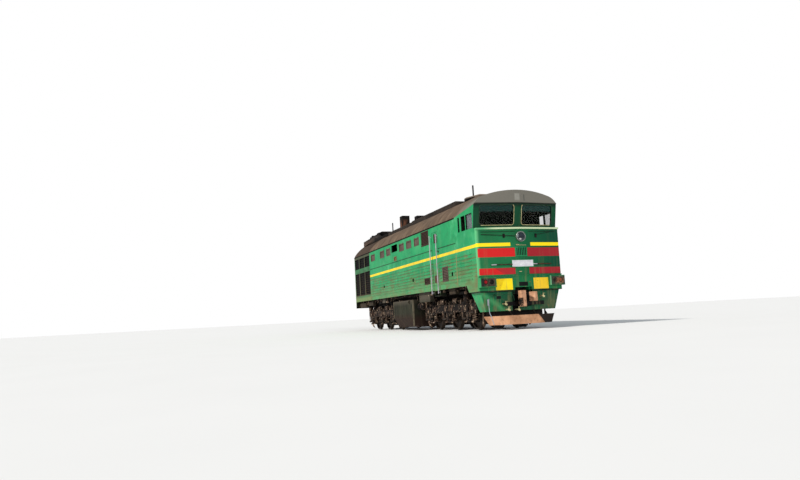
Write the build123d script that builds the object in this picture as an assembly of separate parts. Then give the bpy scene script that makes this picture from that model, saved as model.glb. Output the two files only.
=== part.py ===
"""One section of a twin-section main-line diesel locomotive on two three-axle bogies.

Row frame in millimetres: +X to the cab end, +Y to the driver's left, +Z up. The origin is on the
centre line, midway between the two couplers, at the level of the wheel flanges' lowest points.
Heights in the tables below are measured from the rail head, and rail() adds the flange depth.
"""

from build123d import *
import math
import os

# Driving dimensions
FLANGE = 30.0
COUPLER_LINE = 8484.5
BODY_HALF = 1600.0
WALL = 60.0
REAR_X = -7930.0
FRONT_X = 8030.0
BOW = 145.0
BOW_R = 3000.0
CAB_X = 6300.0
RADIATOR_X = -4850.0
SILL_BOTTOM = 1540.0
FLOOR_TOP = 1700.0
FLOOR_PLATE = 50.0
RIDGE = 4950.0
ROOF_RISE = 900.0
EAVE = RIDGE - ROOF_RISE
WAIST = EAVE - 920.0
CORNER_R = 70.0
BELT = EAVE - 675.0
BELT_T = 60.0
VISOR = EAVE + 220.0
CAB_RIDGE = RIDGE - 200.0
VISOR_X = FRONT_X + 35.0
RAKE = 170.0
SET_BACK = 165.0
SCREEN_RETURN = 50.0
BEAM_BOTTOM = 1270.0
BEAM_TOP = 1770.0
BEAM_FRONT = FRONT_X + 130.0
BEAM_BACK = FRONT_X - 330.0
LEDGE_T = 35.0
BELT_OUT = 28.0

# Running gear
BOGIE_X = 4300.0
AXLE_STEP = 1850.0
WHEEL_R = 525.0
WHEEL_W = 140.0
BACK_TO_BACK = 1440.0
AXLE_R = 105.0
JOURNAL_Y = 1067.0
BEAM_W = 200.0
MOTOR_OFFSET = 470.0
MOTOR_R = 365.0
FRAME_LOW = 700.0
FRAME_TOP = 960.0
END_BEAM = 120.0
WHEEL_GAP = 35.0
FRAME_HALF_LEN = AXLE_STEP + WHEEL_R + FLANGE + WHEEL_GAP + END_BEAM
# Air ducts over one bogie: rear end and front end from its centre
DUCTS = [(1080.0, 1330.0), (-700.0, -300.0), (-1330.0, -1080.0)]


def rail(height):
    """A height above the rail head, in the row frame."""
    return height + FLANGE


def box(x0, x1, y0, y1, z0, z1):
    """A box between two corners."""
    centre = Pos((x0 + x1) / 2, (y0 + y1) / 2, (z0 + z1) / 2)
    return centre * Box(x1 - x0, y1 - y0, z1 - z0)


def bar(start, end, radius):
    """A round bar between two points."""
    along = Vector(*end) - Vector(*start)
    plane = Plane(origin=start, z_dir=along)
    return plane * Cylinder(radius, along.length, align=(Align.CENTER, Align.CENTER, Align.MIN))


def prism(points, direction, length):
    """A straight prism on a flat polygon of 3-D points."""
    face = Face(Wire.make_polygon([Vector(*p) for p in points], close=True))
    return extrude(face, amount=length, dir=direction)


def prism_xz(points, y0, y1):
    return prism([(x, y0, z) for x, z in points], (0, 1, 0), y1 - y0)


def prism_xy(points, z0, z1):
    return prism([(x, y, z0) for x, y in points], (0, 0, 1), z1 - z0)


def prism_yz(points, x0, x1):
    return prism([(x0, y, z) for y, z in points], (1, 0, 0), x1 - x0)


def left(shape):
    """The same shape on the other side of the centre line."""
    return mirror(shape, about=Plane.XZ)


def turned(shape):
    """The same shape turned to face the rear end."""
    return Rot(0, 0, 180) * shape


def fused(shapes):
    shapes = list(shapes)
    result = shapes[0]
    if len(shapes) > 1:
        result = result + shapes[1:]
    return result


def largest(shape):
    """The biggest solid of a cut shape, without the slivers at its corners."""
    return shape.solids().sort_by(SortBy.VOLUME)[-1]


def solids_of(shapes):
    """Separate solids in one node."""
    found = []
    for shape in shapes:
        found += list(shape.solids())
    return Compound(found)


# Body shell

SHOULDER = (900.0, 66.0)
VISOR_SHOULDER = (600.0, 60.0)


def arch(x, eave, ridge, half, shoulder, shell=0.0):
    """Three tangent arcs of a roof at one station, from the right eave over to the left one.

    The shoulder is a radius and the slope of the roof at the eave, in degrees.
    """
    radius, slope = shoulder
    lean = math.radians(slope)
    cy, cz = half - radius * math.sin(lean), eave - radius * math.cos(lean)
    free = ridge - radius
    top = (free**2 - cy**2 - cz**2) / (2 * (free - cz))
    reach = math.hypot(cy, cz - top)
    out = radius - shell
    joint = (cy + out * cy / reach, cz + out * (cz - top) / reach)
    middle = math.radians(slope) / 2 + math.atan2(cy, cz - top) / 2
    bulge = (cy + out * math.sin(middle), cz + out * math.cos(middle))
    end = (cy + out * math.sin(lean), cz + out * math.cos(lean))

    def at(point, side):
        return (x, side * point[0], rail(point[1]))

    return [
        Edge.make_three_point_arc(at(end, -1), at(bulge, -1), at(joint, -1)),
        Edge.make_three_point_arc(at(joint, -1), (x, 0, rail(ridge - shell)), at(joint, 1)),
        Edge.make_three_point_arc(at(joint, 1), at(bulge, 1), at(end, 1)),
    ]


def closed(edges, low=None):
    """A face under an arch, down to a level above the rail or to its own ends."""
    first, last = edges[0] @ 0, edges[-1] @ 1
    if low is None:
        return Face(Wire(edges + [Edge.make_line(last, first)]))
    low_last, low_first = (last.X, last.Y, rail(low)), (first.X, first.Y, rail(low))
    lines = [Edge.make_line(last, low_last), Edge.make_line(low_last, low_first)]
    return Face(Wire(edges + lines + [Edge.make_line(low_first, first)]))


def under_roof(x0, x1, shell=0.0, low=None):
    """Everything below the body roof's outer skin, or below its lining."""
    face = closed(arch(x0, EAVE, RIDGE, BODY_HALF, SHOULDER, shell), low)
    return extrude(face, amount=x1 - x0, dir=(1, 0, 0))


def roof_sheet(x0, x1):
    """A straight length of the roof, as deep as its shell."""
    return under_roof(x0, x1) - under_roof(x0 - 5, x1 + 5, WALL, EAVE - 200)


# Levels of the side's openings, upper edge and lower edge
HATCH_Z = (EAVE - 530, EAVE - 190)
HIGH_GRILLE_Z = (EAVE - 650, EAVE - 60)

# Windows and hatches of one side: front edge, rear edge, lower edge, upper edge
SIDE_WINDOWS = [
    (2600, 2000, *HATCH_Z),
    (1660, 1010, *HATCH_Z),
    (680, 30, *HATCH_Z),
    (-1280, -1910, *HATCH_Z),
    (-2260, -2940, *HATCH_Z),
    (-3870, -4570, *HATCH_Z),
    (-400, -800, EAVE - 880, EAVE - 670),
]
SIDE_GRILLES = [
    (3700, 2870, *HIGH_GRILLE_Z),
    (3620, 3030, SILL_BOTTOM + 290, SILL_BOTTOM + 550),
    (5500, 4950, SILL_BOTTOM + 280, SILL_BOTTOM + 840),
]
SIDE_HOLES = [
    (-250, -1110, EAVE - 450, EAVE - 120),
    (5930, 5780, SILL_BOTTOM + 430, SILL_BOTTOM + 580),
    (1740, 1560, SILL_BOTTOM + 510, SILL_BOTTOM + 650),
    (-2420, -2600, SILL_BOTTOM + 500, SILL_BOTTOM + 620),
]
DOOR_FRONT = 4600.0
DOOR_REAR = 4020.0
DOOR_TOP = EAVE - 250.0
DOOR_SILL = FLOOR_TOP + 20.0
RIB_PITCH = 125.0
RIB_LEVELS = [SILL_BOTTOM + 180 + RIB_PITCH * n for n in range(8)]
RIB_H = 36.0
RIB_OUT = 14.0
BEAD_R = 16.0


def rect_cut(x0, x1, z0, z1, depth=2 * WALL):
    """A hole through the right-hand wall."""
    return box(x0, x1, -BODY_HALF - depth, -BODY_HALF + depth, rail(z0), rail(z1))


CAB_RIBS = (6390.0, 7560.0)


def rib(x0, x1, level):
    """One pressed rib of the lower side sheet, with sloping flanks."""
    y = -BODY_HALF
    points = [
        (y, rail(level)),
        (y - RIB_OUT, rail(level) + RIB_OUT / 2),
        (y - RIB_OUT, rail(level) + RIB_H - RIB_OUT / 2),
        (y, rail(level) + RIB_H),
    ]
    return prism_yz(points, x0, x1)


def rib_spans(level):
    """The lengths of side sheet between the door, grilles and holes at a rib's level."""
    stops = [(DOOR_REAR - 60, DOOR_FRONT + 60)]
    for x1, x0, z0, z1 in SIDE_GRILLES + SIDE_HOLES:
        if z0 - 60 < level + RIB_H and level < z1 + 60:
            stops.append((x0 - 60, x1 + 60))
    stops.sort()
    spans = []
    start = RADIATOR_X + 260
    for x0, x1 in stops:
        if x0 > start + 100:
            spans.append((start, x0))
        start = max(start, x1)
    spans.append((start, CAB_X - 100))
    return spans


def side_wall():
    """The right-hand wall behind the cab, with its ribs, openings, step pocket and rear corner."""
    wall = box(REAR_X, CAB_X, -BODY_HALF, -BODY_HALF + WALL, rail(SILL_BOTTOM), rail(EAVE))
    cuts = [rect_cut(x0, x1, z0, z1) for x1, x0, z0, z1 in SIDE_WINDOWS + SIDE_GRILLES + SIDE_HOLES]
    cuts.append(rect_cut(DOOR_REAR, DOOR_FRONT, DOOR_SILL, DOOR_TOP))
    for x0, x1 in SHUTTER_COLUMNS:
        for z0, z1 in SHUTTER_ROWS:
            cuts.append(rect_cut(x0, x1, z0, z1))
    wall = wall - cuts
    added = [step_pocket()]
    y0, y1 = -BODY_HALF, -BODY_HALF + WALL
    added.append(box(REAR_X, REAR_X + 80, y0, y1, rail(REAR_LOW), rail(SILL_BOTTOM) + 10))
    for level in RIB_LEVELS:
        for x0, x1 in rib_spans(level):
            added.append(rib(x0, x1, level))
    for x0, x1 in ((RADIATOR_X + 40, DOOR_REAR - 30), (DOOR_FRONT + 30, CAB_X - 60)):
        added.append(bar((x0, -BODY_HALF, rail(WAIST)), (x1, -BODY_HALF, rail(WAIST)), BEAD_R))
    return wall + added


def step_pocket():
    """The step under the side door."""
    x0, x1 = DOOR_REAR + 20, DOOR_FRONT - 10
    y0, y1 = -BODY_HALF, -BODY_HALF + 250
    low, high = rail(SILL_BOTTOM) - 230, rail(SILL_BOTTOM)
    pocket = box(x0, x1, y0, y1, low, high) - box(x0 + 14, x1 - 14, y0 - 5, y1 - 14, low + 24, high + 5)
    return pocket + box(x0, x1, y0, -BODY_HALF + WALL, high - 20, high)


def panes():
    """Panes, slatted grilles and hatch covers that fill the side openings."""
    made = []
    y0, y1 = -BODY_HALF + 18, -BODY_HALF + 34
    gap = 0.3
    for x1, x0, z0, z1 in SIDE_WINDOWS:
        frame = box(x0 + gap, x1 - gap, y0 - 26, y1, rail(z0) + gap, rail(z1) - gap)
        made.append(frame - box(x0 + 45, x1 - 45, y0 - 60, y0, rail(z0) + 45, rail(z1) - 45))
    for x1, x0, z0, z1 in SIDE_GRILLES:
        frame = box(x0 + gap, x1 - gap, y0 - 30, y1, rail(z0) + gap, rail(z1) - gap)
        frame = frame - box(x0 + 40, x1 - 40, y0 - 60, y1 - 6, rail(z0) + 40, rail(z1) - 40)
        count = int((z1 - z0 - 80) / 55)
        pitch = (z1 - z0 - 80) / count
        slats = []
        for n in range(count):
            z = rail(z0) + 40 + pitch * (n + 0.5)
            section = [(y1 - 6, z + 20), (y0 - 24, z - 20), (y0 - 24, z - 12), (y1 - 6, z + 28)]
            slats.append(prism_yz(section, x0 + 40, x1 - 40))
        made.append(frame + slats)
    return made


# Cab

def front_outline(corner_x, half, centre_x, back_x):
    """Plan of the bowed cab front, from one side round to the other."""
    return [(back_x, -half), (corner_x, -half), (centre_x, 0), (corner_x, half), (back_x, half)]


def bowed(corner_x, half, centre_x, back_x, z0, z1, corner_r, bow_r):
    """A block whose front is bowed in plan, with rounded corners."""
    block = prism_xy(front_outline(corner_x, half, centre_x, back_x), z0, z1)
    uprights = block.edges().filter_by(Axis.Z).sort_by(Axis.X)
    block = fillet(uprights[-1], bow_r)
    if corner_r:
        corners = block.edges().filter_by(Axis.Z).filter_by_position(Axis.X, corner_x - 1, corner_x + 1)
        block = fillet(corners, corner_r)
    return block


def nose_block(inset, z0, z1, back_x, corner_r=0.0):
    """The nose's plan, set in all round."""
    corner_x = FRONT_X - inset
    return bowed(corner_x, BODY_HALF - inset, corner_x + BOW, back_x, z0, z1, corner_r, BOW_R - inset)


NOSE_BACK = FRONT_X - CORNER_R - 20.0


def nose_sheet():
    """The nose below the windscreens, with the hole for the headlamp."""
    z0, z1 = rail(BEAM_TOP + LEDGE_T), rail(BELT)
    outer = nose_block(0, z0, z1, NOSE_BACK, CORNER_R)
    inner = nose_block(WALL, z0 - 10, z1 + 10, NOSE_BACK - 10)
    return outer - inner - lamp_hole()


def front_zone(half, z0, z1):
    """A block round the cab front that trims what stands out of the sides."""
    return box(FRONT_X - 1000, FRONT_X + 1000, -half, half, z0, z1)


def belt_ledge():
    """The ledge that stands out under the windscreens."""
    z0, z1 = rail(BELT), rail(BELT + BELT_T)
    outer = nose_block(-BELT_OUT, z0, z1, NOSE_BACK, CORNER_R) & front_zone(BODY_HALF + 5, z0, z1)
    return outer - nose_block(SET_BACK + WALL, z0 - 10, z1 + 10, NOSE_BACK - 400)


def screen_block(inset, z0, z1, back):
    """Everything inside the raked windscreens, set in by a depth."""
    faces = []
    lean = RAKE / (VISOR - BELT - BELT_T)
    for z in (z0, z1):
        corner_x = FRONT_X - SET_BACK + lean * (z - BELT - BELT_T) - inset
        outline = front_outline(corner_x, BODY_HALF - inset, corner_x + BOW, corner_x - back)
        faces.append(Face(Wire.make_polygon([Vector(x, y, rail(z)) for x, y in outline], close=True)))
    return loft(faces, ruled=True)


def windscreen_wall():
    """The raked wall above the belt, one flat half on each side of the centre post."""
    z0, z1 = BELT + BELT_T, VISOR
    wall = screen_block(0, z0, z1, SCREEN_RETURN) - screen_block(WALL, z0 - 20, z1 + 20, SCREEN_RETURN + 300)
    roof = cab_roof()
    wall = wall - [roof, Pos(0, 0, -0.3) * roof]
    opening = pane_cutter(PANE_INNER, PANE_OUTER, PANE_LOW, PANE_HIGH, PANE_R, FRONT_X - 600, FRONT_X + 400)
    wall = wall - [opening, left(opening)]
    return largest(wall) + belt_ledge()


PANE_INNER = 150.0
PANE_OUTER = BODY_HALF - 200.0
PANE_LOW = BELT + 165.0
PANE_HIGH = VISOR - 55.0
PANE_R = 80.0


def pane_cutter(inner_y, outer_y, low, high, radius, x0, x1):
    """A rounded rectangle on the right half, extruded along X."""
    centre = (x0, -(inner_y + outer_y) / 2, rail((low + high) / 2))
    middle = Plane(origin=centre, x_dir=(0, 1, 0), z_dir=(1, 0, 0))
    outline = middle * RectangleRounded(outer_y - inner_y, high - low, radius)
    return extrude(outline, amount=x1 - x0, dir=(1, 0, 0))


# Lower edge of the cab's side, from the sill down to the beam
CAB_DROP = [(7030.0, SILL_BOTTOM), (7210.0, BEAM_BOTTOM + 30.0), (7360.0, BEAM_BOTTOM)]
CAB_SIDE_PANES = [(7790, 7270), (7220, 6880)]
CAB_SLIT = (6740, 6600)
CAB_PANE_LOW = BELT + 95.0
CAB_PANE_HIGH = EAVE - 50.0


def cab_side():
    """The cab's right-hand wall, which drops to the buffer beam at the front."""
    lower_x = NOSE_BACK
    bottom_x = FRONT_X - SET_BACK - SCREEN_RETURN
    slope = (VISOR - EAVE) / (VISOR_X - CAB_X)
    lean = RAKE / (VISOR - BELT - BELT_T)
    top_x = (bottom_x + lean * (EAVE - slope * CAB_X - BELT - BELT_T)) / (1 - lean * slope)
    top_z = EAVE + slope * (top_x - CAB_X)
    outline = [
        (CAB_X, SILL_BOTTOM),
        *CAB_DROP,
        (lower_x, BEAM_BOTTOM),
        (lower_x, BELT + BELT_T),
        (bottom_x, BELT + BELT_T),
        (top_x, top_z),
        (CAB_X, EAVE),
    ]
    wall = prism_xz([(x, rail(z)) for x, z in outline], -BODY_HALF, -BODY_HALF + WALL)
    cuts = []
    for x1, x0 in CAB_SIDE_PANES + [CAB_SLIT]:
        cuts.append(rect_cut(x0, x1, CAB_PANE_LOW, CAB_PANE_HIGH))
    return wall - cuts + [rib(*CAB_RIBS, level) for level in RIB_LEVELS]


def cab_roof():
    """The cab's roof, which drops towards the visor while its eaves rise."""
    front = VISOR_X + 300
    slope = (VISOR - EAVE) / (VISOR_X - CAB_X)
    fall = (RIDGE - CAB_RIDGE) / (VISOR_X - CAB_X)
    ends = [
        (CAB_X, EAVE, RIDGE, SHOULDER),
        (front, EAVE + slope * (front - CAB_X), RIDGE - fall * (front - CAB_X), VISOR_SHOULDER),
    ]

    def body(shell, low):
        faces = []
        for x, eave, ridge, shoulder in ends:
            faces.append(closed(arch(x, eave, ridge, BODY_HALF, shoulder, shell), low))
        return loft(faces, ruled=True)

    z0, z1 = rail(EAVE - 100), rail(RIDGE + 50)
    keep = bowed(VISOR_X, BODY_HALF + 5, VISOR_X + BOW, CAB_X - 1, z0, z1, 0, BOW_R)
    inner_x = VISOR_X - WALL
    hollow = bowed(inner_x, BODY_HALF + 5, inner_x + BOW, CAB_X - 50, z0 - 50, z1 + 50, 0, BOW_R)
    return (body(0, None) & keep) - (body(WALL, EAVE - 50) & hollow)


def windscreens():
    """Two flat panes behind the screen wall's outer face and the fixed side panes."""
    shrink = 0.3
    z0, z1 = BELT + BELT_T, VISOR
    sheet = screen_block(22, z0, z1, 2 * CORNER_R) - screen_block(34, z0, z1, 2 * CORNER_R)
    y0, y1 = PANE_INNER + shrink, PANE_OUTER - shrink
    low, high = PANE_LOW + shrink, PANE_HIGH - shrink
    cut = pane_cutter(y0, y1, low, high, PANE_R, FRONT_X - 700, FRONT_X + 400)
    right_pane = sheet & cut
    made = [right_pane, left(right_pane)]
    y0 = -BODY_HALF + 25
    z0, z1 = rail(CAB_PANE_LOW) + shrink, rail(CAB_PANE_HIGH) - shrink
    for x1, x0 in (CAB_SIDE_PANES[0], CAB_SLIT):
        pane = box(x0 + shrink, x1 - shrink, y0, y0 + 12, z0, z1)
        made += [pane, left(pane)]
    return made


# Doors, in the plane of a wall whose outer face is y = 0 and whose inside is +y

DOOR_T = 45.0
DOOR_IN = 8.0
DOOR_GAP = 9.0
HINGE_R = 14.0
HINGE_PIN_R = 7.0
HINGE_LEN = 70.0
HINGE_CLEAR = 0.05
HINGE_SLACK = 1.0
HINGE_Y = WALL + HINGE_R + 2


def upright(x, y, z0, z1, radius):
    return Pos(x, y, z0) * Cylinder(radius, z1 - z0, align=(Align.CENTER, Align.CENTER, Align.MIN))


def door_leaf(width, low, high):
    """A leaf hung at x = 0 with two hinge tubes on its inner face."""
    leaf = box(DOOR_GAP, width - DOOR_GAP, DOOR_IN, DOOR_IN + DOOR_T, low + DOOR_GAP, high - DOOR_GAP)
    leaf = leaf - box(width * 0.3, width * 0.88, DOOR_IN - 5, DOOR_IN + 18, high - 420, high - 60)
    leaf = leaf - box(width * 0.15, width * 0.85, DOOR_IN - 5, DOOR_IN + 18, low + 110, low + 400)
    leaf = leaf + bar((width - 70, DOOR_IN, low + 1050), (width - 70, DOOR_IN - 40, low + 1050), 12)
    for z in hinge_levels(low, high):
        leaf = leaf + box(0, 90, HINGE_Y - 5, HINGE_Y + 5, z, z + HINGE_LEN)
        leaf = leaf + box(60, 90, DOOR_IN + DOOR_T - 5, HINGE_Y + 5, z, z + HINGE_LEN)
        leaf = leaf + upright(0, HINGE_Y, z, z + HINGE_LEN, HINGE_R)
        leaf = leaf - upright(0, HINGE_Y, z - 1, z + HINGE_LEN + 1, HINGE_PIN_R + HINGE_CLEAR)
    return leaf


def hinge_levels(low, high):
    return [low + 300, high - 300 - HINGE_LEN]


def door_pins(low, high):
    """The wall's lugs and pins that carry a leaf."""
    made = []
    for z in hinge_levels(low, high):
        pin = upright(0, HINGE_Y, z - 25, z + HINGE_LEN + 25, HINGE_PIN_R)
        for z0, z1 in ((z - 25, z - HINGE_SLACK), (z + HINGE_LEN + HINGE_SLACK, z + HINGE_LEN + 25)):
            pin = pin + upright(0, HINGE_Y, z0, z1, HINGE_R)
            pin = pin + box(-60, 0, HINGE_Y - 6, HINGE_Y + 6, z0, z1)
            pin = pin + box(-60, -30, WALL - 5, HINGE_Y + 6, z0, z1)
        made.append(pin)
    return made


SIDE_DOOR_AT = Pos(DOOR_REAR, -BODY_HALF, 0)
REAR_DOOR_HALF = 380.0
REAR_DOOR_TOP = EAVE - 400.0
REAR_LOW = SILL_BOTTOM - 350.0
REAR_DOOR_AT = Pos(REAR_X, REAR_DOOR_HALF, 0) * Rot(0, 0, -90)


# Cooling section

SHUTTER_COLUMNS = [(-7830, -7010), (-6870, -5930), (-5800, -4900)]
SHUTTER_ROWS = [(SILL_BOTTOM + 310, EAVE - 960), (EAVE - 710, EAVE - 150)]
SHUTTER_PITCH = 118.0


def shutter_banks():
    """A frame of turning slats in each opening of the right-hand side."""
    made = []
    y0 = -BODY_HALF + 4
    gap = 0.3
    for x0, x1 in SHUTTER_COLUMNS:
        for z0, z1 in SHUTTER_ROWS:
            frame = box(x0 + gap, x1 - gap, y0, y0 + 50, rail(z0) + gap, rail(z1) - gap)
            frame = frame - box(x0 + 30, x1 - 30, y0 - 5, y0 + 60, rail(z0) + 30, rail(z1) - 30)
            count = round((z1 - z0 - 60) / SHUTTER_PITCH)
            pitch = (z1 - z0 - 60) / count
            slats = []
            for n in range(count):
                z = rail(z0) + 30 + pitch * (n + 0.5)
                section = [(y0 + 46, z + 40), (y0 + 8, z - 44), (y0 + 8, z - 34), (y0 + 46, z + 50)]
                slats.append(prism_yz(section, x0 + 29, x1 - 29))
            made.append(frame + slats)
    return made


CORE_Y = -BODY_HALF + WALL + 0.3


def radiator_cores():
    """Radiator cores that stand behind the shutters."""
    made = []
    for z0, z1 in SHUTTER_ROWS:
        made.append(box(-7840, -4890, CORE_Y, CORE_Y + 180, rail(z0) - 30, rail(z1) + 30))
    return made


# The opening over the radiators: rear end, front end, half width
ROOF_VENT = (-7750.0, -5710.0, 600.0)


def body_roof():
    """The roof from the rear end to the cab, open over the radiators."""
    x0, x1, half = ROOF_VENT
    return roof_sheet(REAR_X, CAB_X) - box(x0, x1, -half, half, rail(EAVE), rail(RIDGE) + 10)


# The raised roof over the radiators: half width and height of its edge, of its knee and of its ridge
CAP_X1 = RADIATOR_X - 30.0
CAP_PROFILE = [(1000.0, RIDGE + 10.0), (680.0, RIDGE + 190.0), (0.0, RIDGE + 240.0)]
CAP_T = 40.0
# Filter covers ahead of the opening: rear end, front end, inner edge, outer edge
CAP_COVER = (-5380.0, -4960.0, 330.0, 860.0)


def cap_block(x0, x1, inset, low):
    """The raised roof's outline, set in by its sheet's thickness."""
    half = [(y - inset if y else 0, z - inset) for y, z in CAP_PROFILE]
    points = [(half[0][0], low)] + half
    points += [(-y, z) for y, z in reversed(points) if y]
    return prism_yz([(y, rail(z)) for y, z in points], x0, x1)


def cooling_roof():
    """A raised sheet over the radiators with closed ends and two filter covers."""
    shell = cap_block(REAR_X, CAP_X1, 0, EAVE + 400)
    shell = shell - cap_block(REAR_X + CAP_T, CAP_X1 - CAP_T, CAP_T, EAVE + 300)
    shell = shell - under_roof(REAR_X - 5, CAP_X1 + 5)
    x0, x1, half = ROOF_VENT
    shell = shell - box(x0, x1, -half, half, rail(EAVE), rail(RIDGE) + 400)
    x0, x1, y0, y1 = CAP_COVER
    cover = box(x0, x1, -y1, -y0, rail(RIDGE) + 60, rail(RIDGE) + 280)
    cover = chamfer(cover.faces().sort_by(Axis.Z)[-1].edges(), 30)
    return shell + [cover, left(cover)]


def on_roof(x0, x1, half, height, chamfer_by):
    """A low casing that follows the roof underneath."""
    casing = box(x0, x1, -half, half, rail(EAVE + 300), rail(RIDGE + height))
    top = casing.faces().sort_by(Axis.Z)[-1]
    casing = chamfer(top.edges(), chamfer_by)
    return casing - under_roof(x0 - 5, x1 + 5)


FAN_HATCH = (-7420.0, -6660.0)
FLAP_W = 150.0
FLAP_T = 12.0


def roof_vents():
    """A rim over the opening, with a hatch at the rear and a bank of raised flaps ahead of it."""
    x0, x1, half = ROOF_VENT
    rim = 50
    low = rail(RIDGE) + 150
    high = rail(RIDGE) + 265
    frame = box(x0 - rim, x1 + rim, -half - rim, half + rim, low, high)
    frame = frame - box(x0, x1, -half, half, low - 5, high + 5) - cap_block(REAR_X, CAP_X1, 0, EAVE)
    hatch = box(FAN_HATCH[0], FAN_HATCH[1], -300, 300, high - 30, rail(RIDGE) + 470)
    hatch = chamfer(hatch.faces().sort_by(Axis.Z)[-1].edges(), 40)
    bars = []
    for x in (FAN_HATCH[0], FAN_HATCH[1] - 40):
        bars.append(box(x, x + 40, -half - 5, half + 5, rail(CAP_PROFILE[-1][1]), high))
    bars.append(box(x0 - 5, x1 + 5, -20, 20, rail(CAP_PROFILE[-1][1]), high))
    flaps = []
    starts = [x0 + 30, x0 + 160]
    count = int((x1 - FAN_HATCH[1]) / FLAP_W)
    starts += [FAN_HATCH[1] + 30 + FLAP_W * n for n in range(count)]
    for x in starts:
        rise = FLAP_W * 0.7
        z = high - 30
        section = [(x, z), (x + FLAP_T, z), (x + rise + FLAP_T, z + rise), (x + rise, z + rise)]
        flaps.append(prism_xz(section, -half - 5, half + 5))
    return frame + [hatch] + bars + flaps


# Covers on the roof: rear end, front end, half width, height above the ridge
ROOF_CASINGS = [
    (-4620, -650, 560, 110),
    (-560, 2000, 700, 80),
    (2080, 4500, 700, 80),
    (4990, 6290, 520, 150),
]


def roof_casings():
    """The silencer's cover, two engine covers and the cowl behind the cab."""
    return [on_roof(x0, x1, half, height, min(60, height / 3)) for x0, x1, half, height in ROOF_CASINGS]


# Exhaust stacks: station, half width, top
EXHAUSTS = [(-3500, 200, RIDGE + 800), (-1350, 190, RIDGE + 450)]


STACK_T = 14.0


def exhausts():
    """Two open rectangular stacks."""
    made = []
    base = RIDGE + ROOF_CASINGS[0][3]
    for x, half, top in EXHAUSTS:
        stack = box(x - half, x + half, -half, half, rail(base), rail(top))
        hole = half - STACK_T
        stack = stack - box(x - hole, x + hole, -hole, hole, rail(base) + 60, rail(top) + 10)
        flange = box(x - half - 50, x + half + 50, -half - 50, half + 50, rail(base), rail(base) + 22)
        made.append(stack + flange)
    return made


# Masts: station, level of the foot, top
MASTS = [(4750.0, RIDGE, RIDGE + 670), (-5500.0, CAP_PROFILE[-1][1], RIDGE + 762)]
MAST_R = 30.0


def masts():
    """Two posts for the radio wire, on round feet."""
    made = []
    for x, base, top in MASTS:
        foot = upright(x, 0, rail(base) - 40, rail(base) + 60, 80)
        foot = foot - [under_roof(x - 200, x + 200), cap_block(REAR_X, CAP_X1, 0, EAVE)]
        made.append(foot + upright(x, 0, rail(base) + 40, rail(top), MAST_R))
    return made


# Underframe

DECK_HALF = BODY_HALF - WALL - 0.3
LONG_Y0 = 480.0
LONG_Y1 = 640.0
BEARER_LOW = 1300.0
LONG_BOTTOM = 1400.0
DECK_BOTTOM = FLOOR_TOP - FLOOR_PLATE
BEARER_Y = 1290.0
BEARER_HALF = 210.0
PIVOT_R = 110.0
PIVOT_LOW = 760.0
BEARING_X = 1550.0
BEARING_R = 190.0
DECK_X0 = REAR_X + WALL + 0.3
DECK_X1 = BEAM_BACK - 0.3
DRAFT_X = 7200.0


def deck():
    """Floor plate with a sill along each side."""
    plate = box(DECK_X0, DECK_X1, -DECK_HALF, DECK_HALF, rail(DECK_BOTTOM), rail(FLOOR_TOP))
    x1 = CAB_DROP[0][0] - 50
    sill = box(DECK_X0, x1, -DECK_HALF, -DECK_HALF + 60, rail(SILL_BOTTOM), rail(DECK_BOTTOM))
    return plate + [sill, left(sill)]


def long_beams():
    """Two I-beams under the deck."""
    mid = (LONG_Y0 + LONG_Y1) / 2
    web = box(DECK_X0, DECK_X1, mid - 14, mid + 14, rail(LONG_BOTTOM), rail(DECK_BOTTOM))
    flange = box(DECK_X0, DECK_X1, LONG_Y0, LONG_Y1, rail(LONG_BOTTOM), rail(LONG_BOTTOM) + 25)
    beam = web + flange
    return [beam, left(beam)]


def bearers():
    """Cross-bearers: one over each pivot, one over each pair of side bearings, one at each end."""
    made = []
    for centre in (-BOGIE_X, BOGIE_X):
        for x in (centre - BEARING_X, centre, centre + BEARING_X):
            x0, x1 = x - BEARER_HALF, x + BEARER_HALF
            made.append(box(x0, x1, -BEARER_Y, BEARER_Y, rail(BEARER_LOW), rail(LONG_BOTTOM)))
    end = box(DRAFT_X, DECK_X1, -LONG_Y1, LONG_Y1, rail(BEARER_LOW), rail(LONG_BOTTOM)) + draft_box()
    made += [end, turned(end)]
    return made


POCKET_HALF = 330.0
POCKET_TOP = 1390.0
LEDGE_OUT = 25.0
LAMP_Y1 = BODY_HALF + 15.0
LAMP_Y0 = LAMP_Y1 - 585.0
LAMP_Z0 = 1410.0
LAMP_Z1 = 1750.0
LAMP_FRONT = FRONT_X + 170.0


def headstock():
    """The front buffer beam with the coupler's pocket."""
    z0, z1 = rail(BEAM_BOTTOM), rail(BEAM_TOP)
    beam = nose_block(0, z0, z1, BEAM_BACK, CORNER_R)
    for side in (-1, 1):
        y0, y1 = sorted((side * (BODY_HALF - WALL - 0.3), side * (BODY_HALF + 10)))
        beam = beam - box(BEAM_BACK - 10, NOSE_BACK + 0.3, y0, y1, z0 - 5, z1 + 5)
    ledge = nose_block(-LEDGE_OUT, rail(BEAM_TOP), rail(BEAM_TOP + LEDGE_T), NOSE_BACK + 0.3, CORNER_R)
    ledge = ledge & front_zone(BODY_HALF, rail(BEAM_TOP), rail(BEAM_TOP + LEDGE_T))
    x0, x1 = BEAM_BACK - 10, BEAM_FRONT + 60
    pocket = box(x0, x1, -POCKET_HALF, POCKET_HALF, rail(BEAM_BOTTOM) - 5, rail(POCKET_TOP))
    wide, narrow = BODY_HALF - 200, POCKET_HALF + 40
    cavity = box(BEAM_BACK - 10, FRONT_X - 120, -wide, wide, rail(BEAM_BOTTOM) + 60, rail(BEAM_TOP) - 60)
    cavity = cavity - box(BEAM_BACK - 20, FRONT_X, -narrow, narrow, rail(BEAM_BOTTOM), rail(POCKET_TOP) + 60)
    return beam + ledge - [pocket, cavity]


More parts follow.
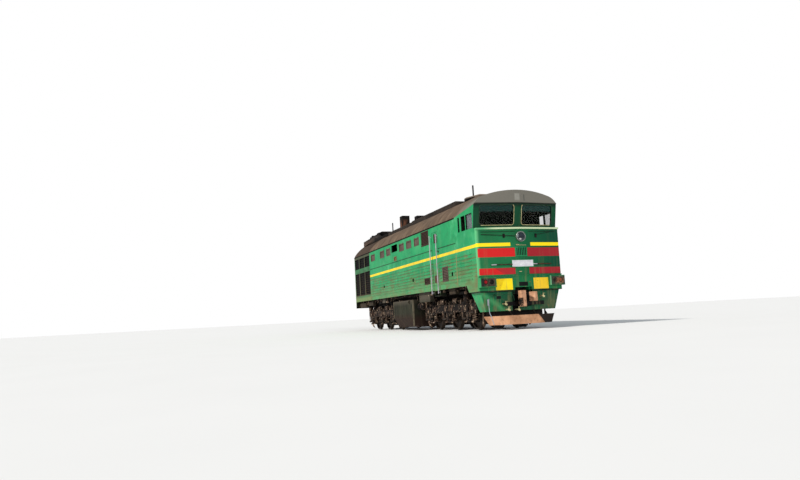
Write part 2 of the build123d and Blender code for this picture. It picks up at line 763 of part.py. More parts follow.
SKIRT_LOW = 610.0
SKIRT_T = 24.0
SKIRT_TOP_PLAN = (FRONT_X - 110.0, BODY_HALF - 84.0, FRONT_X - 830.0)
SKIRT_LOW_PLAN = (FRONT_X - 165.0, BODY_HALF - 263.0, FRONT_X - 610.0)
SKIRT_BOW = 160.0


def skirt():
    """The sheet under the beam, narrower at its lower edge, open round the coupler."""

    def shell(inset, lift):
        faces = []
        levels = ((SKIRT_LOW_PLAN, SKIRT_LOW - lift), (SKIRT_TOP_PLAN, BEAM_BOTTOM + lift))
        for (corner_x, half, back_x), z in levels:
            x = corner_x - inset
            outline = front_outline(x, half - inset, x + SKIRT_BOW, back_x - 2 * lift)
            faces.append(Face(Wire.make_polygon([Vector(px, y, rail(z)) for px, y in outline], close=True)))
        return loft(faces, ruled=True)

    sheet = shell(0, 0) - shell(SKIRT_T, 1)
    clear = POCKET_HALF + 60
    return sheet - box(FRONT_X - 1000, BEAM_FRONT + 60, -clear, clear, 0, rail(BEAM_BOTTOM) + 5)


COUPLER_Z = 1060.0


# Claws in plan, forward of the shank's end
CLAW_X = 8150.0
BIG_CLAW = [(0, -150), (100, -215), (180, -330), (410, -385), (450, -360), (450, -190), (370, -150),
            (250, -125), (75, -110), (75, 50), (0, 120)]
SMALL_CLAW = [(0, -60), (75, -60), (75, 70), (230, 130), (350, 160), (370, 200), (360, 290), (290, 320),
              (110, 240), (0, 150)]


def coupler():
    """A head with one tall and one short claw, on a square shank."""
    z = rail(COUPLER_Z)
    big = prism_xy([(CLAW_X + x, y) for x, y in BIG_CLAW], z - 330, z + 200)
    small = prism_xy([(CLAW_X + x, y) for x, y in SMALL_CLAW], z - 160, z + 150)
    collar = box(CLAW_X - 60, CLAW_X + 10, -160, 160, z - 150, z + 150)
    shank = box(DRAFT_X + 300, CLAW_X, -110, 110, z - 100, z + 100)
    return big + [small, collar, shank]


def draft_box():
    """The casting that holds the shank under the cross-beam."""
    z = rail(COUPLER_Z)
    shell = box(DRAFT_X, DECK_X1, -260, 260, z - 190, rail(BEARER_LOW))
    return shell - box(DRAFT_X + 150, DECK_X1 + 10, -110.3, 110.3, z - 100.3, z + 100.3)


SHELF_Z = (COUPLER_Z - 285.0, COUPLER_Z - 155.0)
SHELF_X = (FRONT_X - 110.0, FRONT_X + 90.0)


def shelf():
    """The centring shelf under the front coupler's shank, hung from the beam."""
    z0, z1 = rail(SHELF_Z[0]), rail(SHELF_Z[1])
    x0, x1 = SHELF_X
    made = [box(x0, x1, -POCKET_HALF, POCKET_HALF, z0, z0 + 30), box(x1 - 25, x1, -760, 760, z0, z1)]
    for y in (30 - POCKET_HALF, POCKET_HALF - 30):
        made.append(box(x0, x0 + 90, y - 15, y + 15, z0, rail(POCKET_TOP) + 10))
    return fused(made)


GUARD_FRONT = FRONT_X + 80.0
GUARD_BACK = FRONT_X - 290.0
GUARD_FLAT = 600.0
GUARD_HALF = BODY_HALF - 235.0
GUARD_LOW = 150.0
GUARD_HIGH = 450.0
GUARD_T = 30.0
# Hangers of the plough: offset from the centre line, rear face, how far forward the foot reaches
GUARD_HANGERS = [
    (1000.0, FRONT_X - 330.0, GUARD_FRONT - 210.0),
    (450.0, FRONT_X - 160.0, GUARD_FRONT - 25.0),
]


def rail_guard():
    """The plough below the skirt, with a flat middle and swept wings."""
    half = [(GUARD_BACK, -GUARD_HALF), (GUARD_FRONT, -GUARD_FLAT)]
    outer = half + [(x, -y) for x, y in reversed(half)]
    inner = [(x - GUARD_T, y * 0.985) for x, y in outer]
    plate = prism_xy(outer + inner[::-1], rail(GUARD_LOW), rail(GUARD_HIGH))
    x = GUARD_BACK - 150
    for side in (-1, 1):
        low, high = (GUARD_HALF - 175) * side, (GUARD_HALF + 7) * side
        out = (GUARD_HALF + 35) * side
        z0, z1 = GUARD_LOW - 10, GUARD_HIGH + 10
        corner = [(low, z0), (out, z0), (out, z1), (high, z1)]
        plate = plate - prism([(x, y, rail(z)) for y, z in corner], (1, 0, 0), 500)
    for y, x, reach in GUARD_HANGERS:
        foot = [(x, 200), (reach, 200), (reach, 430), (x + 60, 560), (x + 60, BEAM_BOTTOM), (x, BEAM_BOTTOM)]
        for side in (-1, 1):
            plate = plate + prism_xz([(px, rail(z)) for px, z in foot], side * y - 12, side * y + 12)
    return plate


# Rear end

GANGWAY_HALF = 520.0


def cross_wall(x0, x1):
    """A wall across the body, below the roof's lining and above the deck."""
    wall = under_roof(x0, x1, WALL + 0.3, FLOOR_TOP + 0.3)
    clear = BODY_HALF - WALL - 0.3
    return wall & box(x0 - 5, x1 + 5, -clear, clear, 0, rail(RIDGE))


def rear_wall():
    """The end wall with the through door's opening and its hinge lugs."""
    wall = cross_wall(REAR_X, REAR_X + WALL)
    x0, x1 = REAR_X - 5, REAR_X + WALL + 5
    wall = wall - box(x0, x1, -REAR_DOOR_HALF, REAR_DOOR_HALF, rail(DOOR_SILL), rail(REAR_DOOR_TOP))
    half = BODY_HALF - WALL - 0.3
    lower = box(REAR_X, REAR_X + WALL, -half, half, rail(REAR_LOW), rail(FLOOR_TOP) + 0.3)
    lower = lower - box(x0, x1, -POCKET_HALF, POCKET_HALF, rail(REAR_LOW) - 90, rail(POCKET_TOP))
    pins = [REAR_DOOR_AT * pin for pin in door_pins(rail(DOOR_SILL), rail(REAR_DOOR_TOP))]
    return wall + [lower] + pins


GANGWAY_PLEATS = 5
GANGWAY_DEPTH = 90.0


def gangway():
    """Pleated tunnel round the through door."""
    made = []
    end = REAR_X - GANGWAY_PLEATS * GANGWAY_DEPTH
    low, high = rail(DOOR_SILL), rail(REAR_DOOR_TOP) + 210
    tunnel = box(end, REAR_X, -GANGWAY_HALF, GANGWAY_HALF, low, high)
    for n in range(GANGWAY_PLEATS):
        at = REAR_X - GANGWAY_DEPTH * (n + 0.5)
        made.append(box(at - 25, at + 25, -GANGWAY_HALF - 50, GANGWAY_HALF + 50, low - 50, high + 50))
    tunnel = tunnel + made
    return tunnel - box(end - 5, REAR_X + 5, -GANGWAY_HALF + 70, GANGWAY_HALF - 70, low + 70, high - 70)


# Inside the cab

CAB_DECK = FLOOR_TOP + 630.0
DESK_BACK = FRONT_X - 880.0
DESK_FRONT = FRONT_X - 390.0


def cab_lining():
    """Raised cab floor on two boxes, with the wall and doorway behind it."""
    plate = box(CAB_X - 20, DESK_FRONT, -DECK_HALF, DECK_HALF, rail(CAB_DECK) - 40, rail(CAB_DECK))
    feet = []
    for side in (-1, 1):
        y0, y1 = sorted((side * 900, side * 1300))
        feet.append(box(CAB_X + 100, DESK_FRONT - 140, y0, y1, rail(FLOOR_TOP), rail(CAB_DECK) - 35))
    wall = cross_wall(CAB_X - WALL - 0.3, CAB_X - 0.3)
    wall = wall - box(CAB_X - WALL - 5, CAB_X + 5, -350, 350, rail(CAB_DECK), rail(EAVE) + 100)
    return wall + [plate] + feet


def desk():
    """Control desk under the windscreens."""
    back, front = DESK_BACK, DESK_FRONT
    outline = [(back + 30, CAB_DECK), (front, CAB_DECK), (front, BELT - 45), (front - 140, BELT + 25),
               (back, BELT - 175), (back, BELT - 255)]
    body = prism_xz([(x, rail(z)) for x, z in outline], -BODY_HALF + 250, BODY_HALF - 250)
    knee = box(back - 50, back + 300, -BODY_HALF + 450, -450, rail(CAB_DECK) - 5, rail(BELT) - 295)
    return body - [knee, left(knee)]


def seat(y):
    x = DESK_BACK - 330
    floor = rail(CAB_DECK)
    base = upright(x, y, floor, floor + 420, 55)
    cushion = box(x - 220, x + 240, y - 230, y + 230, floor + 420, floor + 530)
    z0, z1 = floor + 500, floor + 1180
    outline = [(x - 220, z0), (x - 120, z0), (x - 200, z1), (x - 300, z1)]
    back = prism_xz(outline, y - 230, y + 230)
    return base + cushion + back


# Front and side fittings

LAMP_Z = BELT - 265.0
LAMP_R = 180.0


def headlamp():
    """The lamp's bezel, bowl and lens."""
    face = FRONT_X + BOW
    ring = Plane(origin=(face - 59, 0, rail(LAMP_Z)), z_dir=(1, 0, 0)) * Cylinder(
        LAMP_R, 115, align=(Align.CENTER, Align.CENTER, Align.MIN)
    )
    bowl = Plane(origin=(face - 20, 0, rail(LAMP_Z)), z_dir=(1, 0, 0)) * Cone(
        70, LAMP_R - 20, 80, align=(Align.CENTER, Align.CENTER, Align.MIN)
    )
    return ring - bowl


def lamp_hole():
    return Plane(origin=(FRONT_X, 0, rail(LAMP_Z)), z_dir=(1, 0, 0)) * Cylinder(
        LAMP_R + 0.3, 500, align=(Align.CENTER, Align.CENTER, Align.MIN)
    )


def marker_box():
    """Right-hand lamp box on the beam's end with its two lenses."""
    shell = box(FRONT_X - 40, LAMP_FRONT, -LAMP_Y1, -LAMP_Y0, rail(LAMP_Z0), rail(LAMP_Z1))
    front = shell.faces().sort_by(Axis.X)[-1]
    shell = fillet(front.edges(), 25)
    for y in (-LAMP_Y0 - 390, -LAMP_Y0 - 170):
        lens = Plane(origin=(LAMP_FRONT - 10, y, rail(1590)), z_dir=(1, 0, 0)) * Cylinder(80, 25)
        shell = shell + lens
    return shell


def marker_cut():
    z0, z1 = rail(LAMP_Z0) - 0.3, rail(LAMP_Z1) + 0.3
    return box(FRONT_X - 40.3, LAMP_FRONT, -BODY_HALF - 100, -LAMP_Y0 + 0.3, z0, z1)


def nose_x(y):
    """Outer face of the nose at an offset from the centre line."""
    return FRONT_X + BOW * (1 - abs(y) / BODY_HALF)


RAIL_R = 17.0
POST_OUT = 85.0


def rail_run(start, end, inward, root):
    """A handrail with a foot at each end."""
    made = [bar(start, end, RAIL_R)]
    along = (Vector(*end) - Vector(*start)).normalized()
    for point in (Vector(*start) + along * 60, Vector(*end) - along * 60):
        made.append(bar(tuple(point), tuple(point + Vector(*inward) * root), RAIL_R * 0.8))
    return fused(made)


def handrails():
    """Two uprights by each side door and a rail on each half of the nose."""
    made = []
    y = -BODY_HALF - POST_OUT
    for x in (DOOR_REAR - 35, DOOR_FRONT + 40):
        post = rail_run((x, y, rail(1400)), (x, y, rail(3700)), (0, 1, 0), POST_OUT - 0.3)
        post = post + bar((x, y, rail(1440)), (x, y + 30, rail(1440)), RAIL_R * 0.8)
        made += [post, left(post)]
    start = (nose_x(1150) + 78, -1150, rail(2160))
    end = (nose_x(400) + 78, -400, rail(2160))
    front_rail = rail_run(start, end, (-1, 0, 0), 110)
    front_rail = front_rail - nose_block(-0.3, rail(2000), rail(2300), NOSE_BACK, CORNER_R)
    made += [front_rail, left(front_rail)]
    return made


# Below the deck

TANK_X = (-1450.0, 1150.0)
TANK_HALF = BODY_HALF - 100.0
TANK_TOP = LONG_BOTTOM - 100.0
TANK_LOW = 120.0
TANK_BEVEL = (240.0, 400.0)


def tank():
    """The fuel tank, with four pads that meet the beams."""
    x0, x1 = TANK_X
    inward, up = TANK_BEVEL
    half = [(TANK_HALF, TANK_TOP), (TANK_HALF, TANK_LOW + up), (TANK_HALF - inward, TANK_LOW)]
    outline = half + [(-y, z) for y, z in reversed(half)]
    body = prism_yz([(y, rail(z)) for y, z in outline], x0, x1)
    for x in (x0 + 200, x1 - 200):
        for side in (-1, 1):
            y0, y1 = sorted((side * LONG_Y0, side * LONG_Y1))
            body = body + box(x - 120, x + 120, y0, y1, rail(TANK_TOP) - 10, rail(LONG_BOTTOM))
    return body


# Cases under the sill: rear end, front end, depth below the deck
SIDE_BOXES = [(1950.0, 3180.0, 500.0), (-3330.0, -2830.0, 330.0)]
BOX_W = 170.0


def side_boxes():
    """Battery and switch cases just inside the sill."""
    made = []
    y0 = -DECK_HALF + 70
    for x0, x1, depth in SIDE_BOXES:
        case = box(x0, x1, y0, y0 + BOX_W, rail(DECK_BOTTOM) - depth, rail(DECK_BOTTOM))
        made += [case, left(case)]
    return made


DUCT_HALF = 300.0
DUCT_LOW = FRAME_TOP + 60.0


def air_ducts():
    """Square ducts that bring cooling air from the deck to the motors."""
    made = []
    for x0, x1 in DUCTS:
        made.append(box(x0, x1, -DUCT_HALF, DUCT_HALF, rail(DUCT_LOW), rail(DECK_BOTTOM)))
    return made


def engine():
    """The diesel engine and its generator as one block."""
    return box(-3300, 3300, -620, 620, rail(FLOOR_TOP), rail(EAVE) - 350)


# Bogies, in the row frame of a bogie centred on x = 0 with its outer end at +x

CROSS_X = 925.0
CROSS_HALF = 84.0
BOX_BORE_CLEAR = 0.05
JOURNAL_R = 80.0
JOURNAL_END = 1185.0
BOX_Y0 = 930.0
BOX_Y1 = 1200.0
SPRING_X = 290.0
SPRING_R = 100.0
SPRING_LOW = 330.0
BEARING_TOP = BEARER_LOW - 6


def along_y(x, z, y0, y1, radius):
    return Plane(origin=(x, y0, z), z_dir=(0, 1, 0)) * Cylinder(
        radius, y1 - y0, align=(Align.CENTER, Align.CENTER, Align.MIN)
    )


def bogie_frame():
    """Box side beams, cross-beams, centre socket and four side bearings."""
    y0, y1 = JOURNAL_Y - BEAM_W / 2, JOURNAL_Y + BEAM_W / 2
    beam = box(-FRAME_HALF_LEN, FRAME_HALF_LEN, -y1, -y0, rail(FRAME_LOW), rail(FRAME_TOP))
    parts = [beam, left(beam)]
    end_x = FRAME_HALF_LEN - END_BEAM / 2
    for station, half in ((CROSS_X, CROSS_HALF), (end_x, END_BEAM / 2)):
        for x in (-station, station):
            parts.append(box(x - half, x + half, -y0 - 5, y0 + 5, rail(FRAME_LOW) + 40, rail(FRAME_TOP)))
    parts.append(box(-CROSS_X, CROSS_X, -230, 230, rail(FRAME_TOP) - 30, rail(FRAME_TOP) + 50))
    for x in (-BEARING_X, BEARING_X):
        for side in (-1, 1):
            parts.append(upright(x, side * JOURNAL_Y, rail(FRAME_TOP), rail(BEARING_TOP), BEARING_R * 0.7))
            parts.append(upright(x, side * JOURNAL_Y, rail(FRAME_TOP), rail(FRAME_TOP) + 60, BEARING_R))
    for axle_x in (-AXLE_STEP, 0, AXLE_STEP):
        for x in (axle_x - SPRING_X, axle_x + SPRING_X):
            for side in (-1, 1):
                cup = upright(x, side * JOURNAL_Y, rail(FRAME_LOW) - 28, rail(FRAME_LOW), SPRING_R + 14)
                parts.append(cup - upright(x, side * JOURNAL_Y, 0, rail(FRAME_LOW) + 1, SPRING_R + 0.3))
    for x in (-620, 620):
        for side in (-1, 1):
            z = rail(FRAME_TOP) + 120
            parts.append(bar((x - 170, side * JOURNAL_Y, z), (x + 170, side * JOURNAL_Y, z), 125))
            parts.append(bar((x + 165, side * JOURNAL_Y, z), (x + 290, side * JOURNAL_Y, z), 35))
    frame = fused(parts)
    return frame - upright(0, 0, rail(PIVOT_LOW) - 50, rail(BEARER_LOW), PIVOT_R + BOX_BORE_CLEAR)


def axle_box(x, side):
    """Axle box with the two seats of its springs."""
    z = rail(WHEEL_R)
    body = box(x - 165, x + 165, -BOX_Y1, -BOX_Y0, z - 165, z + 145)
    body = chamfer(body.edges().filter_by(Axis.Y).group_by(Axis.Z)[-1], 70)
    reach = SPRING_X + 110
    y0, y1 = -JOURNAL_Y - 110, -JOURNAL_Y + 110
    seats = box(x - reach, x + reach, y0, y1, rail(SPRING_LOW) - 60, rail(SPRING_LOW))
    cap = along_y(x, z, -BOX_Y1 - 35, -BOX_Y1, 140)
    block = body + [seats, cap]
    block = block - along_y(x, z, -JOURNAL_END - 5, -BOX_Y0 + 5, JOURNAL_R + BOX_BORE_CLEAR)
    return block if side < 0 else left(block)


def springs(x, side):
    made = []
    for offset in (-SPRING_X, SPRING_X):
        made.append(upright(x + offset, side * JOURNAL_Y, rail(SPRING_LOW), rail(FRAME_LOW), SPRING_R))
    return made


HUB_OUT = 30.0


def wheel():
    """The left wheel of a pair, about an axis at the origin along Y."""
    inner = BACK_TO_BACK / 2
    outer = inner + WHEEL_W
    bore = AXLE_R + 0.01
    profile = [
        (inner, bore), (inner, 170), (inner + 35, 200), (inner + 35, WHEEL_R - 85), (inner, WHEEL_R - 65),
        (inner, WHEEL_R + FLANGE - 12), (inner + 10, WHEEL_R + FLANGE), (inner + 24, WHEEL_R + FLANGE),
        (inner + 36, WHEEL_R + 4), (outer - 8, WHEEL_R - 3), (outer, WHEEL_R - 10), (outer, WHEEL_R - 65),
        (inner + 75, WHEEL_R - 85), (inner + 70, 200), (outer + HUB_OUT, 165), (outer + HUB_OUT, bore),
    ]
    face = Face(Wire.make_polygon([Vector(0, y, z) for y, z in profile], close=True))
    return revolve(face, Axis.Y, 360)


def axle():
    """An axle with its journals."""
    seat_end = BACK_TO_BACK / 2 + WHEEL_W + HUB_OUT
    middle = along_y(0, 0, -seat_end, seat_end, AXLE_R)
    journal = along_y(0, 0, seat_end - 5, JOURNAL_END, JOURNAL_R)
    return middle + [journal, left(journal)]


SHOE_GAP = 8.0
SHOE_SIDE = {AXLE_STEP: -1, 0: 1, -AXLE_STEP: 1}


def brakes():
    """A shoe on its hanger for each wheel."""
    made = []
    z = rail(WHEEL_R)
    for axle_x, away in SHOE_SIDE.items():
        near = axle_x + away * (WHEEL_R - 60)
        far = axle_x + away * (WHEEL_R + SHOE_GAP + 60)
        x0, x1 = sorted((near, far))
        shoe = box(x0, x1, -845, -765, z - 170, z + 130)
        shoe = shoe - along_y(axle_x, z, -900, -700, WHEEL_R + SHOE_GAP)
        x0, x1 = sorted((far - away * 50, far + away * 25))
        arm = box(x0, x1, -930, -770, z - 45, z + 45)
        hanger = box(x0, x1, -966.7, -925, z - 45, rail(FRAME_TOP) - 20)
        piece = shoe + [arm, hanger]
        made += [piece, left(piece)]
    return made


MOTORS = [(AXLE_STEP, -1), (0, -1), (-AXLE_STEP, 1)]


def motor(axle_x, direction):
    """A nose-hung motor with its gear case beside the wheel."""
    z = rail(WHEEL_R)
    x = axle_x + direction * MOTOR_OFFSET
    r = MOTOR_R
    cut = r * 0.42
    outline = [(-r, -cut), (-cut, -r), (cut, -r), (r, -cut), (r, cut), (cut, r), (-cut, r), (-r, cut)]
    body = prism_xz([(x + dx, z + dz) for dx, dz in outline], -560, 460)
    arm = box(min(x, axle_x), max(x, axle_x), -500, 420, z - 170, z + 170)
    arm = arm + along_y(axle_x, z, -500, 420, 170)
    nose_x1 = math.copysign(CROSS_X, x) + math.copysign(CROSS_HALF, x - math.copysign(CROSS_X, x))
    lug = box(min(x, nose_x1), max(x, nose_x1), -150, 150, rail(FRAME_LOW) + 60, rail(FRAME_LOW) + 130)
    body = body + [arm, lug]
    return body - along_y(axle_x, z, -700, 700, AXLE_R + BOX_BORE_CLEAR)


COIL_X = FRAME_HALF_LEN + 190.0
COIL_Y = 460.0
COIL_LOW = 20.0


def coils():
    """Receiver coils hung ahead of the first wheels."""
    made = []
    z0, z1 = rail(COIL_LOW), rail(COIL_LOW) + 100
    top = rail(FRAME_TOP) - 40
    for side in (-1, 1):
        y = side * COIL_Y
        coil = box(COIL_X - 60, COIL_X + 60, y - 200, y + 200, z0, z1)
        coil = chamfer(coil.edges().filter_by(Axis.X).group_by(Axis.Z)[0], 80)
        hanger = box(COIL_X - 30, COIL_X + 30, y - 20, y + 20, z1, top - 20)
        arm = box(FRAME_HALF_LEN, COIL_X + 30, y - 20, y + 20, top - 60, top)
        made.append(fused([coil, hanger, arm]))
    return made


def at_bogie(shape, end):
    """A bogie's shape at the front (1) or at the rear (-1) of the locomotive."""
    if end < 0:
        shape = turned(shape)
    return Pos(end * BOGIE_X, 0, 0) * shape


def main():
    """Build every node."""
    nodes = {}
    right_door = SIDE_DOOR_AT * door_leaf(DOOR_FRONT - DOOR_REAR, rail(DOOR_SILL), rail(DOOR_TOP))
    wall = side_wall() + [SIDE_DOOR_AT * pin for pin in door_pins(rail(DOOR_SILL), rail(DOOR_TOP))]
    nodes["side_walls"] = solids_of([wall, left(wall)])
    nodes["side_door_right"] = right_door
    nodes["side_door_left"] = left(right_door)
    fills = panes()
    nodes["side_hatches"] = solids_of(fills + [left(shape) for shape in fills])
    lamp_box = marker_box()
    cut = marker_cut()
    nodes["cab_nose"] = nose_sheet()
    nodes["windscreen_wall"] = windscreen_wall()
    nodes["cab_glass"] = solids_of(windscreens())
    side = cab_side()
    nodes["cab_sides"] = solids_of([side, left(side)])
    nodes["cab_roof"] = cab_roof()
    nodes["body_roof"] = body_roof()
    nodes["roof_vents"] = roof_vents()
    nodes["roof_casings"] = solids_of([cooling_roof()] + roof_casings())
    nodes["exhaust_stacks"] = solids_of(exhausts())
    nodes["roof_masts"] = solids_of(masts())
    banks = shutter_banks()
    nodes["shutters"] = solids_of(banks + [left(shape) for shape in banks])
    cores = radiator_cores()
    nodes["radiator_cores"] = solids_of(cores + [left(shape) for shape in cores])
    nodes["deck"] = deck()
    nodes["long_beams"] = solids_of(long_beams())
    nodes["cross_bearers"] = solids_of(bearers())
    pivots = [upright(x, 0, rail(PIVOT_LOW), rail(BEARER_LOW), PIVOT_R) for x in (-BOGIE_X, BOGIE_X)]
    nodes["centre_pivots"] = solids_of(pivots)
    nodes["headstock"] = headstock() - [cut, left(cut)] + shelf()
    nodes["marker_lamps"] = solids_of([lamp_box, left(lamp_box)])
    nodes["skirt"] = skirt()
    nodes["couplers"] = solids_of([coupler(), turned(coupler())])
    nodes["rail_guard"] = rail_guard()
    nodes["rear_wall"] = rear_wall()
    nodes["rear_door"] = REAR_DOOR_AT * door_leaf(2 * REAR_DOOR_HALF, rail(DOOR_SILL), rail(REAR_DOOR_TOP))
    nodes["gangway"] = gangway()
    nodes["cab_lining"] = cab_lining()
    nodes["control_desk"] = desk()
    nodes["cab_seats"] = solids_of([seat(-BODY_HALF / 2), seat(BODY_HALF / 2)])
    nodes["headlamp"] = headlamp()
    nodes["handrails"] = solids_of(handrails())
    nodes["fuel_tank"] = tank()
    ducts = [at_bogie(duct, end) for duct in air_ducts() for end in (1, -1)]
    nodes["side_boxes"] = solids_of(side_boxes())
    nodes["air_ducts"] = solids_of(ducts)
    nodes["engine_block"] = engine()
    axles = (AXLE_STEP, 0, -AXLE_STEP)
    number = 1
    for name, end in (("front", 1), ("rear", -1)):
        nodes["bogie_frame_" + name] = at_bogie(bogie_frame(), end)
        boxes, coils_made, motors = [], [], []
        for x in axles:
            for flank in (-1, 1):
                boxes.append(at_bogie(axle_box(x, flank), end))
                coils_made += [at_bogie(shape, end) for shape in springs(x, flank)]
        for x, direction in MOTORS:
            motors.append(at_bogie(motor(x, direction), end))
        nodes["axle_boxes_" + name] = solids_of(boxes)
        nodes["springs_" + name] = solids_of(coils_made)
        nodes["motors_" + name] = solids_of(motors)
        nodes["brake_gear_" + name] = solids_of([at_bogie(shape, end) for shape in brakes()])
    wheels = solids_of([wheel(), left(wheel())])
    spindle = axle()
    for x in [BOGIE_X + step for step in axles] + [-BOGIE_X - step for step in axles[::-1]]:
        place = Pos(x, 0, rail(WHEEL_R))
        nodes[f"wheels_{number}"] = place * wheels
        nodes[f"axle_{number}"] = place * spindle
        number += 1
    nodes["receiver_coils"] = solids_of([at_bogie(shape, 1) for shape in coils()])
    os.makedirs("parts", exist_ok=True)
    for name, shape in nodes.items():
        export_step(shape, f"parts/{name}.step")


main()
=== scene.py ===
"""Looks of a twin-section main-line diesel locomotive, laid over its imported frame."""

from math import atan2, cos, exp, pi, radians, sin, sqrt

import bmesh
import bpy
from mathutils import Matrix, Vector


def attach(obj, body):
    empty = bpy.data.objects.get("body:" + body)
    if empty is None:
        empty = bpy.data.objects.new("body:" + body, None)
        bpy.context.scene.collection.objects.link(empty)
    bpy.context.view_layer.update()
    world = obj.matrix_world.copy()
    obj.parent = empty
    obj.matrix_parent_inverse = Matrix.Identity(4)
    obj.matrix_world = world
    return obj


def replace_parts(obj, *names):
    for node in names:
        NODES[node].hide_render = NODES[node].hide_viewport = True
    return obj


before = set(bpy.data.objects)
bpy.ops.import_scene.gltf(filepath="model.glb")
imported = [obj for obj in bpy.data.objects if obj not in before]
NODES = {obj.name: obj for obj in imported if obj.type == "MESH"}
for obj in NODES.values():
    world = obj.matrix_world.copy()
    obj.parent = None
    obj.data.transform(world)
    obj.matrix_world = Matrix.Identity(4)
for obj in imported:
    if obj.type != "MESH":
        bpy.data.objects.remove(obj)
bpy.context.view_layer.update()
RAIL = 0.03  # the rail head, above z = 0
BODY_HALF = 1.6
CREASE = 0.145  # how far the front's middle stands out ahead of its sides
FRONT_X = 8.03
WHEEL_R = 0.525
AXLE_Z = RAIL + WHEEL_R
# Each bogie's centre, axles and brake cylinders along X
BOGIES = (("front", 4.3, (6.15, 4.3, 2.45), (3.68, 4.92)),
          ("rear", -4.3, (-2.45, -4.3, -6.15), (-4.92, -3.68)))
CYLINDER_Z = 1.11
JOURNAL_Y = 1.067
SPRING_X = 0.29
SPRING_Z = (0.36, 0.73)
SEAT_X, SEAT_FLOOR = 6.82, 2.36

# The body roof's section, above the rail: a wide arc on top and a small one at each eave
ROOF_RIDGE = 4.95
EAVE_R, EAVE_LEAN = 0.9, radians(66)
EAVE_Y = BODY_HALF - EAVE_R * sin(EAVE_LEAN)
EAVE_Z = 4.05 - EAVE_R * cos(EAVE_LEAN)
ARC_Z = ((ROOF_RIDGE - EAVE_R)**2 - EAVE_Y**2 - EAVE_Z**2) / (2 * (ROOF_RIDGE - EAVE_R - EAVE_Z))
ARC_R, ARC_LEAN = ROOF_RIDGE - ARC_Z, atan2(EAVE_Y, EAVE_Z - ARC_Z)


# Camera, lights, floor and backdrop

CAMERA_AT = (27.354, -10.993, 0.599 + RAIL)
YAW, PITCH, ROLL = radians(19.089), radians(6.842), radians(-3.021)
FOCAL_SHARE = 639.2 / 800  # the focal length over the picture's width
SENSOR = 36.0


def link(name, data):
    """A new object in the scene."""
    made = bpy.data.objects.new(name, data)
    bpy.context.scene.collection.objects.link(made)
    return made


def set_camera():
    ahead = Vector((-cos(YAW) * cos(PITCH), sin(YAW) * cos(PITCH), sin(PITCH)))
    right = ahead.cross(Vector((0, 0, 1))).normalized()
    up = right.cross(ahead)
    tilted = right * cos(ROLL) + up * sin(ROLL)
    top = up * cos(ROLL) - right * sin(ROLL)
    camera = bpy.data.cameras.new("camera")
    camera.sensor_fit = "HORIZONTAL"
    camera.sensor_width = SENSOR
    camera.lens = FOCAL_SHARE * SENSOR
    camera.clip_end = 2000
    holder = link("camera", camera)
    turn = Matrix((tilted, top, -ahead)).transposed().to_4x4()
    holder.matrix_world = Matrix.Translation(CAMERA_AT) @ turn
    bpy.context.scene.camera = holder


def sun(name, towards, strength, angle, color):
    lamp = bpy.data.lights.new(name, "SUN")
    lamp.energy = strength
    lamp.angle = radians(angle)
    lamp.color = color
    link(name, lamp).rotation_euler = Vector(towards).to_track_quat("-Z", "Y").to_euler()


def set_lights():
    """Two suns, a soft sky that lights, and a white one that is seen."""
    bpy.context.scene.view_settings.view_transform = "Standard"
    sun("key_light", (-0.02, 1, -0.8), 3.3, 4, (1, 0.96, 0.9))
    sun("fill_light", (-1, 0.05, -0.25), 1.35, 30, (0.97, 0.98, 1))
    world = bpy.data.worlds.new("backdrop")
    bpy.context.scene.world = world
    world.use_nodes = True
    tree = world.node_tree
    tree.nodes.clear()
    soft, white, path, mix, out = (tree.nodes.new("ShaderNode" + kind) for kind in (
        "Background", "Background", "LightPath", "MixShader", "OutputWorld"))
    soft.inputs["Color"].default_value = (0.86, 0.92, 1, 1)
    soft.inputs["Strength"].default_value = 0.42
    white.inputs["Color"].default_value = (1, 1, 1, 1)
    for n, socket in enumerate((path.outputs["Is Camera Ray"], soft.outputs[0], white.outputs[0])):
        tree.links.new(socket, mix.inputs[n])
    tree.links.new(mix.outputs[0], out.inputs[0])


# Materials: colours are laid over each other through masks in the object's own coordinates


def linear(color):
    """Three display values as a linear colour. Four linear ones stay as they are."""
    if len(color) == 4:
        return color
    parts = [v / 255 for v in color]
    return (*(v / 12.92 if v <= 0.04045 else ((v + 0.055) / 1.055) ** 2.4 for v in parts), 1)


